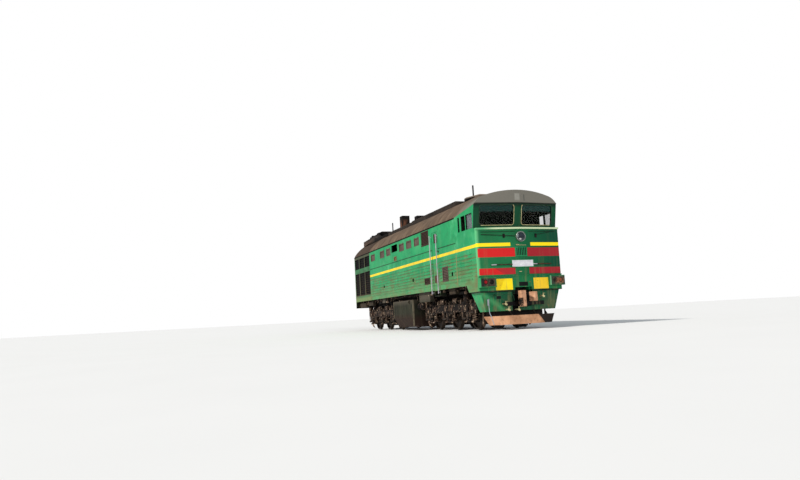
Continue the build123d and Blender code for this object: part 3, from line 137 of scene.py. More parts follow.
class Paint:
    """A node material under construction, and the colour that it has so far."""

    def __init__(self, name, rough=0.5, metal=0):
        self.mat = bpy.data.materials.new(name)
        self.mat.use_nodes = True
        self.tree = self.mat.node_tree
        self.shader = self.tree.nodes["Principled BSDF"]
        gloss = 0.5 if rough < 0.3 else 0.14
        for key, value in (("Roughness", rough), ("Metallic", metal), ("Specular IOR Level", gloss)):
            self.shader.inputs[key].default_value = value
        self.place = self.node("ShaderNodeTexCoord", {}, "Object")
        self.x, self.y, self.z = self.parts(self.place)
        self.nx, _, self.nz = self.parts(self.node("ShaderNodeTexCoord", {}, "Normal"))
        self.flank = self.math("ABSOLUTE", self.y)
        self.color = None
        self.hole = None  # a mask of openings painted black as their shade, which dirt doesn't cover

    def parts(self, vector):
        split = self.tree.nodes.new("ShaderNodeSeparateXYZ")
        self.tree.links.new(vector, split.inputs[0])
        return split.outputs

    def node(self, kind, inputs, out=0, **props):
        made = self.tree.nodes.new(kind)
        for key, value in props.items():
            setattr(made, key, value)
        for key, value in inputs.items():
            if isinstance(value, bpy.types.NodeSocket):
                self.tree.links.new(value, made.inputs[key])
            else:
                made.inputs[key].default_value = value
        return made.outputs[out]

    def math(self, operation, a, b=0):
        return self.node("ShaderNodeMath", {0: a, 1: b}, operation=operation)

    def plus(self, a, b):
        return self.math("ADD", a, b)

    def either(self, a, b):
        return self.math("MAXIMUM", a, b)

    def both(self, *masks):
        """The product of masks and numbers. Three values in a tuple are a step's."""
        masks = [self.step(*mask) if isinstance(mask, tuple) else mask for mask in masks]
        result = masks[0]
        for mask in masks[1:]:
            result = self.math("MULTIPLY", result, mask)
        return result

    def step(self, value, low, high):
        """0 below low, 1 above high."""
        return self.node("ShaderNodeMapRange", {0: value, 1: low, 2: high, 3: 0, 4: 1.0})

    def band(self, value, low, high, soft=0.002):
        rise = self.step(value, low - soft, low + soft)
        fall = self.step(value, high + soft, high - soft)
        return self.both(rise, fall)

    def noise(self, scale, detail, stretch=(1, 1, 1)):
        spot = self.node("ShaderNodeVectorMath", {0: self.place, 1: stretch}, operation="MULTIPLY")
        inputs = {"Vector": spot, "Scale": scale, "Detail": detail, "Roughness": 0.6}
        return self.node("ShaderNodeTexNoise", inputs)

    def blots(self, scale, detail, low, high, stretch=(1, 1, 1)):
        """A mask of noise patches."""
        return self.step(self.noise(scale, detail, stretch), low, high)

    def mix(self, mask, a, b):
        a, b = (linear(c) if isinstance(c, tuple) else c for c in (a, b))
        return self.node("ShaderNodeMix", {0: mask, 6: a, 7: b}, 2, data_type="RGBA")

    def shades(self, a, b, scale, detail=6, low=0.35, high=0.65, stretch=(1, 1, 1)):
        """Two colours in patches of noise."""
        return self.mix(self.blots(scale, detail, low, high, stretch), a, b)

    def lay(self, color, share, *masks):
        """Lays a share of a colour over the one so far, where all the masks are 1."""
        if share != 1:
            masks += (share,)
        self.color = self.mix(self.both(*masks), self.color, color)

    def finish(self, scale=None, strength=0.2, distance=0.01, detail=4, rough=None):
        """Wires the colour up, with bumps of noise."""
        self.tree.links.new(self.color, self.shader.inputs["Base Color"])
        if scale is not None:
            bump = {"Height": self.noise(scale, detail), "Strength": strength, "Distance": distance}
            self.tree.links.new(self.node("ShaderNodeBump", bump), self.shader.inputs["Normal"])
        if rough is not None:
            self.tree.links.new(rough, self.shader.inputs["Roughness"])
        return self.mat


GREEN = (36, 150, 92)
GREEN_DARK = (26, 126, 80)
GREEN_FADED = (74, 156, 104)
RUST = (116, 80, 54)
DUST = (132, 122, 82)
# Brown for the dirt and painted shadow under the ribs.
DIRT_AND_SHADOW = (88, 82, 52)
YELLOW = (252, 222, 20)
RED = (205, 26, 26)
BLACK = (8, 8, 9)
RIB_FOOT, RIB_PITCH = 1.75, 0.125


def green_paint(name, marks=None, dust=0.55, painted_front_shade=False):
    """Body green, faded and dusty low down, with painted marks under streaks and rust spots."""
    p = Paint(name, 0.45)
    p.color = p.shades(GREEN, GREEN_DARK, 0.7, 5, 0.35, 0.7)
    p.lay(GREEN_FADED, 0.5, p.blots(1.6, 6, 0.45, 0.7))
    p.lay((22, 118, 72), 0.4, p.blots(3.4, 6, 0.55, 0.66, (0.8, 1, 1.2)))
    p.lay((96, 190, 140), 0.35, p.blots(2.8, 6, 0.58, 0.7, (1, 1, 0.5)))
    # Painted shade: faces that look ahead get a darker green, as the front lies out of the light.
    if painted_front_shade:
        ahead = p.both((p.nx, 0.35, 0.7), (p.x, 7.7, 7.75))
        p.lay(p.shades((14, 98, 54), (22, 116, 68), 1.1, 5, 0.3, 0.7), 1, ahead)
    if marks:
        marks(p)
    streak = p.blots(5, 5, 0.52, 0.8, (1.4, 1.4, 0.12))
    p.lay(DUST, 1, streak, p.plus(p.both((p.z, 2.9, 1.5), dust), 0.1))
    p.lay(RUST, 1, p.blots(9, 6, 0.63, 0.72), p.plus(p.both((p.z, 2.3, 1.5), 0.7), 0.1))
    # Openings painted black as their shade, over the dirt.
    if p.hole:
        p.lay((5, 6, 6), 1, p.hole)
    return p.finish(2.2, 0.25, 0.02, 3, p.plus(p.both(p.noise(6, 4), 0.25), 0.35))


def rib_dirt_and_shadow(p):
    """Brown dirt along the ribs of the lower side, thicker towards the sill, with a painted shadow in the
    band under each rib.
    """
    under = p.band(p.math("MODULO", p.math("SUBTRACT", p.z, RIB_FOOT), RIB_PITCH), 0.086, 0.126, 0.006)
    zone = p.both((p.z, 2.74, 2.7), (p.z, 1.6, 1.7), (p.flank, 1.59, 1.597))
    # The band under each rib is dirt and painted shadow.
    p.lay(DIRT_AND_SHADOW, 0.75, under, zone, p.blots(1.3, 5, 0.34, 0.6, (0.5, 1, 3)))
    p.lay((120, 122, 80), 0.62, (p.z, 2.25, 1.6), p.blots(2.2, 5, 0.2, 0.7, (0.4, 1, 1.6)))
    stain = p.both(p.blots(2.6, 6, 0.5, 0.62, (0.4, 1, 1.6)), (p.z, 2.72, 2.5))
    p.lay((92, 96, 58), 0.55, stain)
    p.lay((112, 88, 62), 0.5, p.blots(4.2, 6, 0.55, 0.64, (0.45, 1, 2)), (p.z, 2.7, 2.6))
    seam = p.both(p.band(p.x, 6.285, 6.325, 0.008), (p.z, 2.74, 2.7), p.blots(6, 5, 0.3, 0.5))
    p.lay((152, 122, 84), 0.75, seam)


def side_stripe(p):
    """The yellow line along the side, which climbs slightly to the front."""
    rib_dirt_and_shadow(p)
    height = p.math("SUBTRACT", p.z, p.both(p.plus(p.x, 4.85), 0.0045))
    line = p.both(p.band(height, 2.762, 2.868), (p.x, -4.852, -4.848), (p.flank, 1.585, 1.588))
    p.lay(p.shades((240, 206, 40), (212, 184, 56), 4, 5, 0.42, 0.62, (0.6, 1, 1)), 1, line)


def wall_marks(p):
    """The stripe, the waist bead painted dark as shade, the sooty sheets round the shutters, and painted
    shade on the inner faces.
    """
    side_stripe(p)
    # The bead at the waist painted dark as shade.
    p.lay((22, 34, 20), 0.85, p.band(p.z, 3.141, 3.179), (p.flank, 1.6015, 1.603))
    rear = p.step(p.x, -4.84, -4.86)
    p.lay((58, 74, 46), 0.55, rear)
    p.lay((74, 68, 52), 0.85, rear, (p.z, 3.7, 3.95))
    posts = p.either(p.band(p.x, -7.02, -6.86), p.band(p.x, -5.94, -5.79))
    lines = p.either(p.band(p.x, -6.955, -6.925, 0.006), p.band(p.x, -5.88, -5.85, 0.006))
    rows = p.either(p.band(p.z, 1.88, 3.12), p.band(p.z, 3.37, 3.93))
    p.lay(p.mix(lines, (16, 17, 14), (118, 112, 74)), 0.93, posts, rows)
    p.lay((128, 142, 88), 0.5, rear, (p.z, 1.82, 1.72))
    p.lay((40, 42, 28), 0.5, rear, p.blots(5, 5, 0.45, 0.6, (1, 1, 0.4)), (p.z, 1.85, 1.9))
    low = p.step(p.z, 1.568, 1.565)
    p.lay((66, 82, 50), 0.75, low)
    # Painted shade: the inner faces, and the inner part below the sill, near-black.
    inner = p.either(p.step(p.flank, 1.585, 1.58), p.both(low, (p.z, 1.42, 1.4)))
    p.lay((14, 15, 12), 0.94, inner)


def cab_marks(p):
    """The stripe, rust behind the corner post, painted shade on the faces that look ahead above the belt and
    on the inner faces near the front, and a dark band along the foot.
    """
    side_stripe(p)
    p.lay(RUST, 0.75, (p.x, 7.6, 7.9), (p.z, 2.4, 1.9), p.blots(3.5, 5, 0.38, 0.6))
    # Painted shade on the faces that look ahead above the belt.
    p.lay((2, 66, 38), 1, (p.nx, 0.4, 0.6), (p.z, 3.5, 3.52))
    p.lay((10, 34, 20), 1, (p.z, 1.335, 1.32), (p.x, 7, 7.1))
    # Painted shade on the inner faces by the front corner.
    p.lay((16, 19, 15), 1, (p.flank, 1.575, 1.57), (p.x, 7.85, 7.8))


def nose_marks(p):
    """The yellow line and four red fields, with painted light: shade on the far half and its red fields,
    shade in the grille slots, a highlight on the near corner post, the near rail's shadow on a red field and
    a shadow along the foot.
    """
    ahead, near = p.step(p.nx, 0.5, 0.55), p.step(p.y, 0, -0.1)
    # Painted shade, deepening towards the far half.
    p.lay((2, 62, 44), 0.88, (p.y, -0.5, 1.3))
    # Painted highlight on the near rounded corner post.
    p.lay((112, 196, 136), 0.5, (p.flank, 1.49, 1.56), near, (p.z, 1.8, 1.84))
    # Painted shade in the slots between the grille bars.
    p.lay((6, 20, 12), 0.95, p.band(p.z, 2.5, 2.765), (p.flank, 0.205, 0.2), ahead)
    p.lay(YELLOW, 1, p.band(p.z, 2.82, 2.94), (p.flank, 0.385, 0.388))
    upper = p.both(p.band(p.z, 2.46, 2.76), p.band(p.flank, 0.24, 1.575), ahead)
    lower = p.both(p.band(p.z, 1.86, 2.08), p.band(p.flank, 0.27, 1.565), ahead)
    # The red fields are darker on the far half: painted shade.
    p.lay(p.mix(p.step(p.y, -0.1, 0.1), RED, (158, 34, 42)), 1, p.either(upper, lower))
    # The near rail's painted shadow across the lower red field.
    slope = p.plus(p.y, p.both(p.z, 1.7))
    p.lay((138, 34, 42), 0.6, lower, (slope, 2.5, 2.54), near)
    # Painted shadow of the ledge along the foot of the nose.
    p.lay((14, 42, 28), 0.8, (p.z, 1.845, 1.835), ahead)


def beam_marks(p):
    """Two yellow squares, the far one and a corner of the near one in painted shade, the slot between them
    painted black as shade, painted shade along the beam's foot, and the black shelf.
    """
    ahead = p.step(p.x, 8.04, 8.05)
    square = p.both(p.band(p.z, 1.34, 1.72), p.band(p.flank, 0.405, 1.015), ahead)
    # The far square is darker: painted shade.
    p.lay(p.mix(p.step(p.y, -0.1, 0.1), YELLOW, (244, 200, 44)), 1, square)
    # The slot painted black as an opening's shade.
    p.hole = p.both(p.band(p.z, 1.45, 1.59), (p.flank, 0.172, 0.168), ahead)
    # Painted shade along the foot of the beam.
    p.lay((6, 22, 14), 0.9, (p.z, 1.338, 1.33), (p.x, 7.2, 7.3))
    # The lamp box's painted shadow on a corner of the near square.
    tilt = p.math("SUBTRACT", p.y, p.both(p.z, 0.5))
    p.lay((206, 160, 8), 0.45, square, (p.y, 0, -0.1), (tilt, -1.52, -1.56))
    p.lay(BLACK, 1, (p.z, 1.2, 1.19), (p.x, 7.9, 7.91))


def belt_marks(p):
    """Painted shade round the windscreens, the visor's painted shadow above them and dark back faces, and
    the ledge below them painted pale as a highlight, greener at its near end.
    """
    # Painted shade on the wall round the windscreens.
    screen = p.step(p.z, 3.468, 3.472)
    p.lay(p.shades((2, 70, 40), (4, 58, 36), 1.6, 5, 0.3, 0.7), 1, screen)
    # The visor's painted shadow across the top.
    p.lay((2, 26, 18), 0.85, (p.z, 4.14, 4.26))
    # Back faces painted dark as shade.
    p.lay((20, 24, 20), 1, screen, (p.nx, 0.1, -0.1))
    # The ledge painted pale as the light it catches from above.
    ledge = p.both((p.z, 3.472, 3.468), (p.x, 7.8, 7.82))
    p.lay(p.mix(p.step(p.y, -0.9, -1.35), (196, 210, 168), (96, 168, 118)), 1, ledge)


def door_marks(p):
    """The stripe, and the brown window and louvre of a side door."""
    side_stripe(p)
    side = p.step(p.flank, 1.583, 1.579)
    p.lay((62, 38, 34), 1, p.band(p.z, 3.38, 3.78), side)
    p.lay((86, 62, 54), 1, p.band(p.z, 1.85, 2.16), side)


def lamp_marks(p):
    """Painted shade for a recess on the near lamp box, and a rusty orange one on the far box."""
    p.lay((140, 190, 146), 0.6, (p.x, 8.15, 8.19), p.band(p.y, 1, 1.07))
    p.lay((24, 62, 44), 0.6, (p.y, 1.07, 1.08), (p.z, 1.77, 1.75))
    spot = p.both(p.band(p.y, 1.24, 1.56, 0.03), p.band(p.z, 1.52, 1.69, 0.03), p.blots(8, 4, 0.3, 0.5))
    panel = p.mix(spot, (52, 58, 46), (132, 82, 58))
    # The near recess is painted dark as its shade.
    recess = p.shades((26, 34, 30), (40, 38, 32), 6, 4, 0.4, 0.6)
    recess = p.mix(p.both(p.band(p.y, -1.3, -1.08, 0.02), 0.6), recess, (74, 62, 50))
    front = p.both((p.x, 8.196, 8.198), p.band(p.z, 1.475, 1.745), p.band(p.flank, 1.075, 1.6))
    p.lay(p.mix(p.step(p.y, -0.1, 0.1), recess, panel), 1, front)


def skirt_marks(p):
    """Painted light: black for a hole beside the coupler, shade on the far half, a shadow and a lit band on
    the near half, dark back faces and shade under the beam; and brown splashes low down.
    """
    ahead = p.step(p.nx, 0.3, 0.5)
    # Painted shade over the far half.
    p.lay((2, 58, 42), 0.8, (p.y, -0.2, 1))
    near = p.both((p.y, -0.3, -0.36), ahead)
    slope = p.plus(p.z, p.both(p.y, 0.72))
    # A painted shadow on the upper near half.
    p.lay((2, 74, 50), 0.75, near, (slope, 0.26, 0.36))
    # A painted band of light along the shadow's edge.
    p.lay((84, 172, 110), 0.42, near, p.band(slope, 0.1, 0.27, 0.07))
    p.lay((92, 84, 60), 0.6, (p.z, 1.2, 0.75), p.blots(3.2, 6, 0.42, 0.6, (1, 1, 0.6)))
    # Back faces painted dark as shade.
    p.lay((12, 16, 13), 1, (p.nx, -0.2, -0.4))
    # The hole painted black as its shade.
    p.hole = p.both(p.band(p.z, 1.05, 1.15), p.band(p.y, -0.955, -0.8), ahead)
    # Painted shade along the top, under the beam.
    p.lay(BLACK, 0.85, (p.z, 1.275, 1.285))


def rear_marks(p):
    """The end wall is sooty outside and painted dark inside as shade."""
    p.lay((46, 52, 36), 0.75, p.blots(1.6, 5, 0.3, 0.6))
    # Inner faces painted dark as shade.
    p.lay((14, 14, 12), 1, (p.nx, 0.3, 0.5))


def hatch_paint():
    """Brown hatches, with darker grilles behind the side door and a rusty plate."""
    p = Paint("brown_paint", 0.7)
    p.color = p.shades((98, 84, 76), (76, 62, 55), 2.2)
    p.lay((134, 112, 90), 0.3, p.blots(5, 6, 0.42, 0.7), (p.z, 2, 1))
    p.lay(p.mix(p.noise(4, 4), (70, 50, 42), (44, 34, 29)), 1, p.band(p.x, 2.8, 3.75))
    p.lay((106, 88, 62), 1, p.band(p.x, -0.82, -0.38), (p.z, 3.45, 3.43))
    return p.finish(16, 0.25, 0.006)


def rail_paint():
    """Pale grab rails at the doors and dark ones with pale ends across the nose."""
    p = Paint("rail_paint", 0.5)
    p.color = p.shades((180, 176, 184), (138, 132, 138), 5, 5, 0.4, 0.7)
    middle = p.both((p.x, 8, 8.02), p.band(p.y, -0.98, 1.2))
    dark = p.both(middle, p.math("SUBTRACT", 1, p.band(p.y, 0.3, 0.56)))
    p.lay(p.shades((38, 34, 26), (84, 50, 36), 6, 4, 0.4, 0.6), 1, dark)
    return p.finish(9, 0.2, 0.004, 3)


def coupler_paint():
    """Dry rust on the claws; the mouth between them, the shank and spots on the near claw are painted black
    as shade.
    """
    p = Paint("coupler_steel", 0.8)
    p.color = p.shades((206, 156, 122), (152, 108, 82), 4)
    p.lay((92, 66, 52), 0.7, p.blots(9, 5, 0.55, 0.66))
    across = p.both(p.y, p.math("SIGN", p.x))
    reach = p.math("ABSOLUTE", p.x)
    mouth = p.both(p.band(across, -0.165, 0.1), (reach, 8.595, 8.59))
    # Painted shade in the mouth between the claws and on the shank.
    p.lay((12, 10, 9), 1, p.either(mouth, p.step(reach, 8.24, 8.22)))
    pocket = p.both((across, -0.29, -0.31), (p.z, 1.07, 1.02), p.blots(7, 3, 0.62, 0.5))
    edge = p.both((across, -0.445, -0.46), p.blots(3, 3, 0.3, 0.4))
    # Painted shade in spots on the near claw.
    p.lay((16, 13, 12), 1, p.either(pocket, edge))
    return p.finish(14, 0.3, 0.006)


def guard_paint():
    """Sandy rust on the rail guard, with painted shade on its far wing, and its top dark."""
    p = Paint("guard_rust", 0.85)
    p.color = p.shades((204, 154, 118), (166, 120, 88), 3)
    p.lay((122, 86, 62), 0.5, p.blots(8, 6, 0.54, 0.66))
    # Painted shade on the far wing.
    far = p.step(p.plus(p.y, p.z), 0.98, 1)
    p.lay((44, 36, 32), 1, p.either(p.step(p.z, 0.475, 0.49), far))
    return p.finish(12, 0.3, 0.006)


def shutter_paint():
    """Black slats whose edges catch sandy dust low down."""
    p = Paint("shutter_black", 0.85)
    p.color = p.shades((12, 10, 10), (5, 5, 5), 3, 5, 0.4, 0.6)
    tip = p.step(p.flank, 1.584, 1.59)
    p.lay((128, 104, 80), 0.3, tip, (p.z, 3.3, 2.5), p.blots(5, 5, 0.3, 0.5, (0.6, 1, 1)))
    return p.finish(16, 0.2, 0.004)


def gear_paint(name, base, dark, sand, amount):
    """Running gear: oily black, patched with rust, and with pale sand that is both dust and painted
    highlight, heavier on faces that look up.
    """
    p = Paint(name, 0.8)
    p.color = p.shades(base, dark, 2.5)
    p.lay((84, 60, 48), 0.4, p.blots(5, 6, 0.5, 0.62, (1, 1, 0.8)))
    # Sand as dust and as painted highlight, heavier on faces that look up.
    top = p.plus(p.both((p.nz, -0.2, 0.9), 0.35), 0.65)
    p.lay(sand, 1, p.blots(8.5, 6, 0.56, 0.61, (1, 1, 0.9)), p.both(top, amount))
    return p.finish(14, 0.3, 0.008)


def stack_paint():
    """Soot over rust, with orange streaks on the tall stack."""
    p = Paint("stack_rust", 0.85)
    p.color = p.shades((26, 21, 19), (14, 12, 12), 2.4, 5, 0.4, 0.6)
    streak = p.blots(5, 5, 0.42, 0.58, (1.2, 1.2, 0.3))
    p.lay((116, 76, 56), 0.9, streak, (p.x, -2.6, -3), (p.z, 5.62, 5.42))
    return p.finish(9, 0.3, 0.01)


def dusty(name, base, dark, dust, rough=0.75, scale=1.5, metal=0, amount=0.7, bump=0.25):
    """A worn painted or bare surface under dust."""
    p = Paint(name, rough, metal)
    p.color = p.shades(base, dark, scale)
    top = p.plus(p.both((p.nz, -0.2, 0.9), 0.5), 0.25)
    p.lay(dust, 1, p.blots(scale * 3, 6, 0.42, 0.7), p.both(top, amount))
    return p.finish(scale * 8, bump, 0.006)


def roof_paint():
    """Grey over the cab, dusty brown behind it and sooty over the radiators."""
    p = Paint("roof_paint", 0.85)
    p.color = p.shades((100, 82, 67), (74, 61, 50), 0.9, 6, 0.35, 0.68)
    p.lay((138, 120, 100), 0.5, p.blots(3, 6, 0.45, 0.72, (2.2, 0.25, 0.6)))
    p.lay((116, 114, 105), 0.85, (p.x, 6.2, 7.6))
    visor = p.step(p.x, 7.9, 8)
    p.lay((160, 158, 148), 0.5, p.band(p.y, -0.12, 0.07, 0.02), p.band(p.z, 4.4, 4.64, 0.02), visor)
    drip = p.both(p.band(p.y, 0.225, 0.265, 0.008), p.band(p.z, 4.38, 4.6, 0.02), visor)
    p.lay((66, 70, 66), 0.7, drip)
    p.lay((26, 32, 26), 0.85, (p.z, 4.335, 4.32), (p.x, 7.98, 8))
    p.lay((40, 34, 30), 0.7, p.blots(1.1, 5, 0.4, 0.6), (p.z, 4.85, 5), (p.x, 3, -1))
    rear = p.step(p.plus(p.x, p.both(p.noise(1.6, 3), 0.5)), -4.45, -4.75)
    p.lay((62, 50, 42), 0.88, rear)
    return p.finish(3, 0.3, 0.02)


def casing_paint():
    """Dark covers: the cowl is paler, with painted shade for the gap below it, and the raised roof browner
    at its rear.
    """
    p = Paint("casing_paint", 0.85)
    p.color = p.shades((58, 50, 44), (34, 30, 27), 1.6)
    p.lay((126, 112, 97), 0.8, (p.x, 4.8, 4.9), (p.nz, -0.3, 0.3))
    p.lay((76, 60, 50), 0.8, (p.x, -5.9, -6.6), (p.nz, 0.6, 0.2))
    p.lay((14, 12, 12), 0.8, p.band(p.x, -5.8, -4.7, 0.1))
    # Painted shade in the gap under the cowl.
    p.lay((16, 15, 14), 0.9, p.band(p.x, 4.9, 5.9, 0.05), (p.z, 5.02, 4.99), (p.nz, 0.5, 0.2))
    return p.finish(5, 0.3, 0.01)


def tank_paint():
    """Dull green-grey on the upper half, and dark brown on the lower one as painted shade."""
    p = Paint("tank_paint", 0.75)
    p.color = p.shades((46, 47, 35), (34, 35, 26), 1.3, 5, 0.35, 0.65)
    p.lay((96, 87, 77), 0.5, (p.z, 1.1, 1.33))
    # Painted shade on the lower part.
    p.lay((46, 30, 24), 0.9, (p.z, 0.78, 0.5))
    p.lay((96, 80, 62), 0.35, p.blots(4, 5, 0.5, 0.75, (1.5, 1.5, 0.15)))
    return p.finish(2, 0.2, 0.02, 3)


def window_glass():
    """Dark glass, denser and bluer above."""
    p = Paint("window_glass", 0.05)
    p.shader.inputs["IOR"].default_value = 1.3
    alpha = p.plus(p.both((p.z, 4, 4.05), 0.5), 0.2)
    p.tree.links.new(alpha, p.shader.inputs["Alpha"])
    p.mat.surface_render_method = "BLENDED"
    p.color = p.shades((0.01, 0.014, 0.01, 1), (0.007, 0.0098, 0.007, 1), 4, 4, 0.4, 0.7)
    p.lay((17, 56, 52), 0.8, (p.z, 4, 4.06))
    return p.finish()


MATERIALS = dict(
    side=green_paint("side_green", wall_marks),
    cab_side=green_paint("cab_green", cab_marks),
    nose=green_paint("nose_green", nose_marks, painted_front_shade=True),
    beam=green_paint("beam_green", beam_marks, painted_front_shade=True),
    belt=green_paint("belt_green", belt_marks, painted_front_shade=True),
    door=green_paint("door_green", door_marks),
    lamp_box=green_paint("lamp_box_green", lamp_marks, painted_front_shade=True),
    green=green_paint("plain_green"),
    skirt=green_paint("skirt_green", skirt_marks, 0.75, True),
    rear=green_paint("rear_green", rear_marks, 0.7),
    coupler=coupler_paint(),
    guard=guard_paint(),
    slats=shutter_paint(),
    roof=roof_paint(),
    tank=tank_paint(),
    casing=casing_paint(),
    brown=hatch_paint(),
    rail=rail_paint(),
    stack=stack_paint(),
    glass=window_glass(),
    gear=gear_paint("running_gear", (26, 21, 19), (7, 6, 6), (158, 136, 116), 0.5),
    # A paler copy of the running gear for small parts: sandy dust and painted highlight.
    sand_and_highlight_gear=gear_paint("sandy_gear_and_highlight", (118, 98, 82), (64, 52, 44), (208, 184, 158), 0.95),
    vent=dusty("vent_paint", (22, 19, 18), (12, 11, 11), (70, 60, 50), amount=0.5),
    under=dusty("under_paint", (26, 21, 18), (14, 12, 11), (66, 52, 42), scale=2, amount=0.5),
    eave=dusty("eave_shadow", (16, 16, 11), (9, 10, 7), (40, 38, 28), 0.9, amount=0.3),
    steel=dusty("wheel_steel", (58, 48, 41), (28, 23, 20), (120, 98, 78), 0.55, 2.5, 0.4),
    rubber=dusty("black_rubber", (24, 23, 23), (14, 14, 14), (70, 62, 54), 0.8, 3),
    box=dusty("box_brown", (62, 52, 42), (40, 36, 29), (110, 92, 74), 0.8, 4),
    pale=dusty("pale_paint", (206, 208, 200), (168, 168, 158), (150, 128, 104), 0.5, 5, amount=0.5),
    chrome=dusty("lamp_metal", (150, 158, 150), (110, 118, 110), (104, 100, 84), 0.35, 6, 0.7, 0.4),
    core=dusty("radiator_metal", (30, 28, 27), (18, 17, 16), (60, 52, 46)),
    machine=dusty("machine_grey", (90, 92, 88), (64, 64, 62), (104, 94, 80)),
    lining=dusty("cab_lining", (58, 56, 50), (42, 40, 36), (66, 58, 50)),
    seat=dusty("seat_cover", (58, 40, 32), (40, 28, 23), (84, 68, 54), 0.6, 8),
    desk=dusty("desk_grey", (44, 50, 46), (32, 36, 33), (58, 54, 48), 0.5, 4),
    lens=dusty("lens_glass", (38, 48, 56), (24, 30, 36), (92, 98, 98), 0.12, 7, 0, 0.3, 0.05),
    amber=dusty("amber_lens", (168, 84, 56), (120, 64, 44), (130, 96, 70), 0.3, 9, 0, 0.3, 0.05),
    red_lens=dusty("red_lens", (168, 22, 30), (104, 14, 20), (110, 60, 52), 0.3, 9, 0, 0.5, 0.05),
    plate=dusty("plate_white", (226, 224, 226), (196, 192, 200), (170, 160, 160), 0.5, 6, 0, 0.3),
    blind=dusty("blind_grey", (150, 156, 162), (130, 134, 140), (120, 116, 110), 0.7, 4, 0, 0.3),
    seal=dusty("seal_dark", (34, 62, 44), (20, 42, 30), (90, 92, 66), 0.6, 9),
    lever=dusty("lever_green", (20, 84, 54), (14, 60, 40), (92, 84, 60), 0.6, 6),
    pale_edge=dusty("tank_edge", (128, 118, 98), (84, 80, 66), (150, 132, 108), 0.7, 3),
    # Cream for pale fittings, and for the seals' painted highlight.
    cream=dusty("cream_and_seal_highlight", (206, 196, 150), (160, 146, 104), (120, 104, 78), 0.6, 9),
)

DRESS = dict(
    side="side_walls", cab_side="cab_sides", nose="cab_nose", belt="windscreen_wall", rear="rear_wall",
    beam="headstock", skirt="skirt", door="side_door_right side_door_left", green="rear_door",
    lamp_box="marker_lamps", roof="cab_roof body_roof", vent="roof_vents", casing="roof_casings",
    stack="exhaust_stacks", rubber="roof_masts gangway receiver_coils", brown="side_hatches",
    slats="shutters", core="radiator_cores", coupler="couplers", guard="rail_guard", lining="cab_lining",
    desk="control_desk", seat="cab_seats", chrome="headlamp", rail="handrails", tank="fuel_tank side_boxes",
    machine="engine_block", glass="cab_glass",
    under="deck long_beams cross_bearers centre_pivots air_ducts",
)


def dress_nodes():
    """Gives each node its material: what DRESS doesn't name is a wheelset or running gear."""
    keys = {name: key for key, names in DRESS.items() for name in names.split()}
    for name, node in NODES.items():
        wheelset = name[:-1] in ("wheels_", "axle_")
        node.data.materials.clear()
        node.data.materials.append(MATERIALS[keys.get(name, "steel" if wheelset else "gear")])


def set_floor():
    bpy.ops.mesh.primitive_plane_add(size=1600, location=(0, 0, -0.002))
    floor = bpy.context.object
    floor.name = "floor"
    p = Paint("floor", 0.95)
    p.color = p.mix(p.noise(0.5, 2), (0.80, 0.80, 0.79, 1), (0.83, 0.83, 0.82, 1))
    floor.data.materials.append(p.finish())


# Pieces built here


